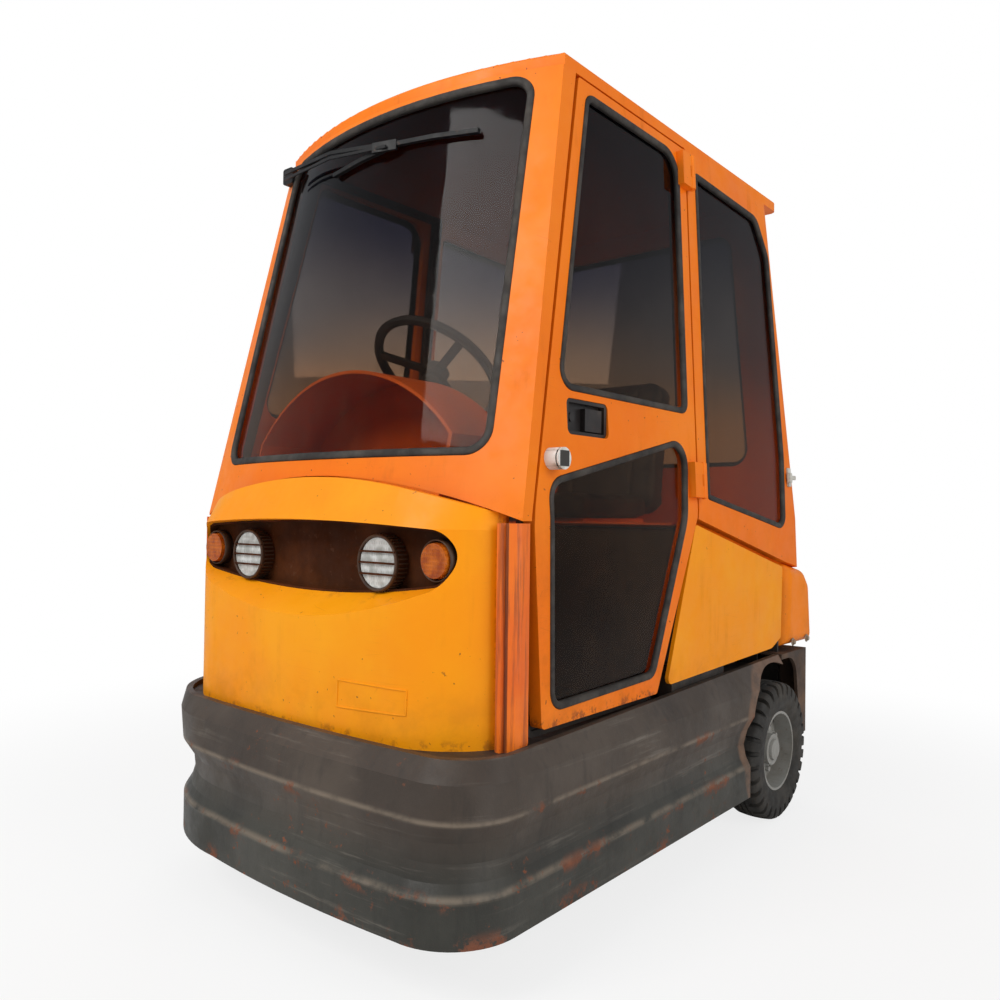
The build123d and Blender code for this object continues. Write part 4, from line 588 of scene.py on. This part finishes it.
def strip(bm, path, normals, width, height):
    """A low strip round a closed path, with a chamfered top; normals point out of the surface."""
    rings = []
    count = len(path)
    profile = (
        (-0.5, -0.001), (-0.5, height * 0.5), (-0.3, height),
        (0.3, height), (0.5, height * 0.5), (0.5, -0.001),
    )
    for i, (p, n) in enumerate(zip(path, normals)):
        along = (path[(i + 1) % count] - path[i - 1]).normalized()
        side = n.cross(along).normalized()
        rings.append([bm.verts.new(p + side * a * width + n * b) for a, b in profile])
    join_rings(bm, rings)
    bmesh.ops.recalc_face_normals(bm, faces=bm.faces[:])


# edge of the blank raised field on the nose, as (x, z) corners
field = [(0.176, 0.557), (0.362, 0.556), (0.361, 0.506), (0.174, 0.500)]
path = []
for i, (x, z) in enumerate(field):
    x2, z2 = field[(i + 1) % 4]
    steps = 12 if abs(x2 - x) > 0.05 else 4
    for k in range(steps):
        u, w = x + (x2 - x) * k / steps, z + (z2 - z) * k / steps
        path.append(Vector((u, nose_y(u), w)))
normals = [Vector((nose_y(p.x + 0.002) - nose_y(p.x - 0.002), -0.004, 0)).normalized() for p in path]
bm = bmesh.new()
strip(bm, path, normals, 0.004, 0.0012)
piece("nose_field_edge", bm, YELLOW, "chassis")

BOLT_R = 0.0085
WASHER_R = 1.5 * BOLT_R
WASHER_TOP = 0.0015
SUNK = 0.001


def hex_bolt(bm, place, outward, height):
    """Hexagon head on a round washer."""
    turn = Vector((0, 0, 1)).rotation_difference(outward).to_matrix().to_4x4()
    here = Matrix.Translation(place) @ turn
    for sides, r, low, high in ((20, WASHER_R, -SUNK, WASHER_TOP), (6, BOLT_R, SUNK, WASHER_TOP + height)):
        middle = here @ Matrix.Translation((0, 0, (low + high) / 2))
        made = bmesh.ops.create_cone(bm, cap_ends=True, segments=sides, radius1=r, radius2=r * 0.94,
                                     depth=high - low, matrix=middle)["verts"]
        edges = [e for e in bm.edges if e.verts[0] in made and e.verts[1] in made]
        bmesh.ops.bevel(bm, geom=edges, offset=0.0003, segments=1, affect="EDGES")


bm = bmesh.new()
for side in (-1, 1):
    for y in (0.724, 0.843):
        hex_bolt(bm, Vector((side * 0.5605, y, 0.508)), Vector((side, 0, 0)), 0.006)
    for x in (0.15, 0.42):
        hex_bolt(bm, Vector((side * x, 0.9067, 0.512)), Vector((0, 1, 0.12)).normalized(), 0.006)
piece("rear_body_bolts", bm, BOLT, "chassis", smooth=False)

# white catch on each rear pillar: base, block and tongue
CATCH = (
    # z from, to, out of the pillar from, to, y from, to
    (1.008, 1.068, -0.001, 0.006, 0.690, 0.716),
    (1.020, 1.052, 0.005, 0.016, 0.680, 0.700),
    (1.030, 1.044, 0.006, 0.013, 0.700, 0.738),
)
bm = bmesh.new()
for side in (-1, 1):
    for low, high, out_low, out_high, y_low, y_high in CATCH:
        corners = [(y, z, o) for y in (y_low, y_high) for z in (low, high) for o in (out_low, out_high)]
        verts = [bm.verts.new((side * (side_x(z) + o), y, z)) for y, z, o in corners]
        made = bmesh.ops.convex_hull(bm, input=verts)
        edges = [e for e in made["geom"] if isinstance(e, bmesh.types.BMEdge)]
        bmesh.ops.bevel(bm, geom=edges, offset=0.0015, segments=2, affect="EDGES")
piece("pillar_catches", bm, WHITE, "chassis", smooth=False)

# cooling fins round each headlamp
FINS = 40
FIN_SIZE = (0.005, 0.026, 0.003, 1)
bm = bmesh.new()
for side in (-1, 1):
    for k in range(FINS):
        spin = Matrix.Rotation(2 * math.pi * k / FINS, 4, "Y")
        centre = Matrix.Translation((side * LAMP_X, -0.762, LAMP_Z))
        where = centre @ spin @ Matrix.Translation((LAMP_R + 0.0005, 0, 0))
        bmesh.ops.create_cube(bm, size=1.0, matrix=where @ Matrix.Diagonal(FIN_SIZE))
piece("headlamp_fins", bm, LAMP_BLACK, "chassis", smooth=False)


def lathe(bm, centre, profile, axis, segments):
    """Turn (along, radius) pairs round an axis through the centre."""
    rings = []
    for i in range(segments):
        angle = 2 * math.pi * i / segments
        ring = []
        for along, radius in profile:
            u, v = radius * math.cos(angle), radius * math.sin(angle)
            offset = (u, along, v) if axis == "Y" else (along, u, v)
            ring.append(bm.verts.new(Vector(centre) + Vector(offset)))
        rings.append(ring)
    join_rings(bm, rings)


# rims of the headlamps and of the turn signals, as (y, radius)
LAMP_RIM = (
    (-0.7795, 0.0545), (-0.7835, 0.0565), (-0.7845, 0.0590), (-0.7815, 0.0612),
    (-0.7740, 0.0612), (-0.7740, 0.0600), (-0.7785, 0.0560),
)
SIGNAL_RIM = ((-0.7455, 0.0402), (-0.7670, 0.0402), (-0.7690, 0.0415), (-0.7680, 0.0435), (-0.7455, 0.0445))
bm = bmesh.new()
for side in (-1, 1):
    lathe(bm, (side * LAMP_X, 0, LAMP_Z), LAMP_RIM, "Y", 64)
    lathe(bm, (side * SIGNAL_X, 0, SIGNAL_Z), SIGNAL_RIM, "Y", 64)
bmesh.ops.recalc_face_normals(bm, faces=bm.faces[:])
piece("lamp_bezels", bm, LAMP_BLACK, "chassis")

# wheel nuts on the discs, and caps over the hubs
WHEELS = (
    # name, side, x, y
    ("front_left", 1, FRONT_WHEEL_X, FRONT_WHEEL_Y),
    ("front_right", -1, -FRONT_WHEEL_X, FRONT_WHEEL_Y),
    ("rear_left", 1, REAR_WHEEL_X, REAR_WHEEL_Y),
    ("rear_right", -1, -REAR_WHEEL_X, REAR_WHEEL_Y),
)
NUTS = 6
NUT_CIRCLE_R = 0.062
DISC_FACE = 0.0055
# out of the wheel's middle plane, radius
HUB_CAP = ((0.0285, 0.0), (0.0410, 0.0), (0.0400, 0.020), (0.0360, 0.030), (0.0285, 0.032))
for name, side, cx, cy in WHEELS:
    bm = bmesh.new()
    for k in range(NUTS):
        angle = 2 * math.pi * (k + 0.5) / NUTS
        y, z = cy + NUT_CIRCLE_R * math.cos(angle), WHEEL_Z + NUT_CIRCLE_R * math.sin(angle)
        hex_bolt(bm, Vector((cx + side * DISC_FACE, y, z)), Vector((side, 0, 0)), 0.010)
    lathe(bm, (cx, cy, WHEEL_Z), [(side * out, radius) for out, radius in HUB_CAP], "X", 48)
    bmesh.ops.remove_doubles(bm, verts=bm.verts, dist=1e-6)
    bmesh.ops.recalc_face_normals(bm, faces=bm.faces[:])
    piece("wheel_nuts_" + name, bm, RIM, "wheel_" + name, smooth=False)

# tyres with shoulder lugs, in the room of the plain ones
LUGS = 30
GROOVE_DEPTH, GROOVE_IN = 0.015, 0.004
CENTRE_RIB = 0.012
# across the tyre from its middle, radius, share of the groove's depth
HALF_PROFILE = (
    (0.0050, 0.2046, 0.0), (0.0060, 0.1985, 0.0), (0.0100, 0.1985, 0.0), (0.0110, 0.2044, 0.0),
    (0.0170, 0.2042, 0.0), (0.0250, 0.2035, 0.9), (0.0400, 0.2018, 1.0), (0.0470, 0.1985, 1.0),
    (0.0525, 0.1900, 1.0), (0.0546, 0.1780, 0.55), (0.0548, 0.1660, 0.0), (0.0548, 0.1480, 0.0),
    (0.0530, 0.1290, 0.0), (0.045, 0.1171, 0.0),
)
PROFILE = [(-across, radius, share) for across, radius, share in reversed(HALF_PROFILE)] + list(HALF_PROFILE)
# share of the pitch, 1 in the groove
LUG_STEPS = ((0.0, 0), (0.16, 0), (0.32, 0), (0.48, 0), (0.64, 0), (0.68, 1), (0.82, 1), (0.96, 1))
for name, side, cx, cy in WHEELS:
    bm = bmesh.new()
    rings = []
    for lug in range(LUGS):
        for place, deep in LUG_STEPS:
            ring = []
            for across, radius, share in PROFILE:
                # one shoulder's lugs stand half a pitch on
                shift = 0.5 if across < -CENTRE_RIB else 0.0
                angle = 2 * math.pi * (lug + place + shift) / LUGS
                r = radius - GROOVE_DEPTH * deep * share
                x = across - math.copysign(GROOVE_IN, across) * deep * share
                ring.append(bm.verts.new((cx + x, cy + r * math.sin(angle), WHEEL_Z - r * math.cos(angle))))
            rings.append(ring)
    join_rings(bm, rings)
    bmesh.ops.recalc_face_normals(bm, faces=bm.faces[:])
    tyre = piece("lugged_tyre_" + name, bm, TYRE, "wheel_" + name)
    tyre.data.set_sharp_from_angle(angle=math.radians(32))
    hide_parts("tyre_" + name)


# ---------------------------------------------------------------- seat
SHRINK, MOST_MOVE, EDGE_ROOM = 0.010, 0.012, 0.0005
VOXEL = 0.008
PRESSURE = 4.0
SIM_FRAMES = 20


def swell(name, source, seams):
    """A padded seat part: the solid's shape, made smaller, remeshed and blown up like a cushion."""
    solid = frame["nodes"][source]
    mesh = solid.data.copy()
    mesh.transform(solid.matrix_world)
    low = Vector([min(v.co[i] for v in mesh.vertices) for i in range(3)])
    high = Vector([max(v.co[i] for v in mesh.vertices) for i in range(3)])
    middle = (low + high) / 2
    size = high - low
    for v in mesh.vertices:
        for i in range(3):
            v.co[i] = middle[i] + (v.co[i] - middle[i]) * (1 - 2 * SHRINK / size[i])
    obj = bpy.data.objects.new(name, mesh)
    bpy.context.scene.collection.objects.link(obj)
    remesh = obj.modifiers.new("remesh", "REMESH")
    remesh.mode = "VOXEL"
    remesh.voxel_size = VOXEL
    bake(obj)
    start = [v.co.copy() for v in obj.data.vertices]
    cloth = obj.modifiers.new("cloth", "CLOTH")
    cloth.settings.use_pressure = True
    cloth.settings.uniform_pressure_force = PRESSURE
    cloth.settings.effector_weights.gravity = 0.0
    cloth.settings.quality = 5
    scene = bpy.context.scene
    for frame_number in range(1, SIM_FRAMES + 1):
        scene.frame_set(frame_number)
    bake(obj)
    scene.frame_set(1)
    for v, was in zip(obj.data.vertices, start):
        move = v.co - was
        if move.length > MOST_MOVE:
            move = move.normalized() * MOST_MOVE
        p = was + move
        v.co = Vector([min(max(p[i], low[i] + EDGE_ROOM), high[i] - EDGE_ROOM) for i in range(3)])
    for v in obj.data.vertices:
        v.co += seams(v.co, low, high)
    smooth = obj.modifiers.new("smooth", "SUBSURF")
    smooth.levels = 1
    smooth.render_levels = 1
    bake(obj)
    obj.data.materials.clear()
    obj.data.materials.append(VINYL)
    for face in obj.data.polygons:
        face.use_smooth = True
    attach(obj, "chassis")
    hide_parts(source)


def bake(obj):
    """Apply what the object's modifiers make of its mesh."""
    graph = bpy.context.evaluated_depsgraph_get()
    made = bpy.data.meshes.new_from_object(obj.evaluated_get(graph))
    obj.modifiers.clear()
    obj.data = made


CHANNEL = 0.006


def dip(distance, depth):
    """Depth of a sewn channel at a distance from its line."""
    return depth * math.exp(-(distance / CHANNEL) ** 2)


def cushion_seams(p, low, high):
    """Two sewn channels along the cushion and one across, on its top."""
    top = max(0.0, (p.z - low.z) / (high.z - low.z) - 0.55) / 0.45
    return Vector((0, 0, -top * (dip(abs(p.x) - 0.125, 0.006) + dip(p.y - 0.10, 0.004))))


def back_seams(p, low, high):
    """Two sewn channels up the back's front and one across."""
    lean = p.y - (0.4246 - (p.z - 0.900) * -0.16)
    front = 1.0 if lean < 0.02 else 0.0
    return Vector((0, front * (dip(abs(p.x) - 0.115, 0.006) + dip(p.z - 1.14, 0.005)), 0))


swell("padded_cushion", "seat_cushion", cushion_seams)
swell("padded_back", "seat_back", back_seams)

# ---------------------------------------------------------------- floor and light
floor_mesh = bpy.data.meshes.new("floor")
bm = bmesh.new()
bmesh.ops.create_grid(bm, x_segments=1, y_segments=1, size=40.0)
bm.to_mesh(floor_mesh)
bm.free()
floor = bpy.data.objects.new("floor", floor_mesh)
bpy.context.scene.collection.objects.link(floor)
# white to the eye further out, and pale under the vehicle
s = Shader("floor_pale")
tone = s.mix(s.noise(0.7, 3), srgb(222, 222, 221), srgb(228, 228, 227))
s.finish(Base_Color=tone, Roughness=0.85, Specular_IOR_Level=0.2)
glow = s.node("ShaderNodeEmission", {"Color": (1.0, 1.0, 1.0, 1.0), "Strength": 1.0}).outputs[0]
distance = s.node("ShaderNodeVectorMath", {0: s.coord}, operation="LENGTH").outputs["Value"]
share = s.band(distance, 1.2, 3.0, 0.80, 1.0)
path_kind = s.node("ShaderNodeLightPath")
seen = s.any_of(path_kind.outputs["Is Camera Ray"], path_kind.outputs["Is Transmission Ray"])
shown = {0: s.math("MULTIPLY", share, seen), 1: s.bsdf.outputs[0], 2: glow}
s.put(s.tree.nodes["Material Output"].inputs["Surface"], s.node("ShaderNodeMixShader", shown).outputs[0])
floor_mesh.materials.append(s.mat)

world = bpy.data.worlds.new("world")
bpy.context.scene.world = world
world.use_nodes = True
tree = world.node_tree
tree.nodes.clear()
rays = tree.nodes.new("ShaderNodeLightPath")
seen = tree.nodes.new("ShaderNodeMath")
seen.operation = "MAXIMUM"
tree.links.new(rays.outputs["Is Camera Ray"], seen.inputs[0])
tree.links.new(rays.outputs["Is Transmission Ray"], seen.inputs[1])
soft = tree.nodes.new("ShaderNodeBackground")
soft.inputs["Color"].default_value = (0.93, 0.96, 1.0, 1.0)
soft.inputs["Strength"].default_value = 0.47
white = tree.nodes.new("ShaderNodeBackground")
white.inputs["Color"].default_value = (1.0, 1.0, 1.0, 1.0)
white.inputs["Strength"].default_value = 1.0
both = tree.nodes.new("ShaderNodeMixShader")
tree.links.new(seen.outputs[0], both.inputs[0])
tree.links.new(soft.outputs[0], both.inputs[1])
tree.links.new(white.outputs[0], both.inputs[2])
out = tree.nodes.new("ShaderNodeOutputWorld")
tree.links.new(both.outputs[0], out.inputs[0])


def area(name, place, aim, size, power, colour=(1, 1, 1)):
    data = bpy.data.lights.new(name, "AREA")
    data.size = size
    data.energy = power
    data.color = colour
    lamp = bpy.data.objects.new(name, data)
    bpy.context.scene.collection.objects.link(lamp)
    lamp.location = place
    lamp.rotation_euler = (Vector(aim) - Vector(place)).to_track_quat("-Z", "Y").to_euler()


area("key", (-0.6, -4.6, 4.4), (0, 0, 0.9), 2.6, 178, (1.0, 0.98, 0.95))
area("fill", (5.0, -0.6, 2.6), (0, 0, 0.9), 3.0, 98, (1.0, 0.98, 0.96))
area("back", (-3.5, 3.5, 3.5), (0, 0, 1.0), 3.0, 60)
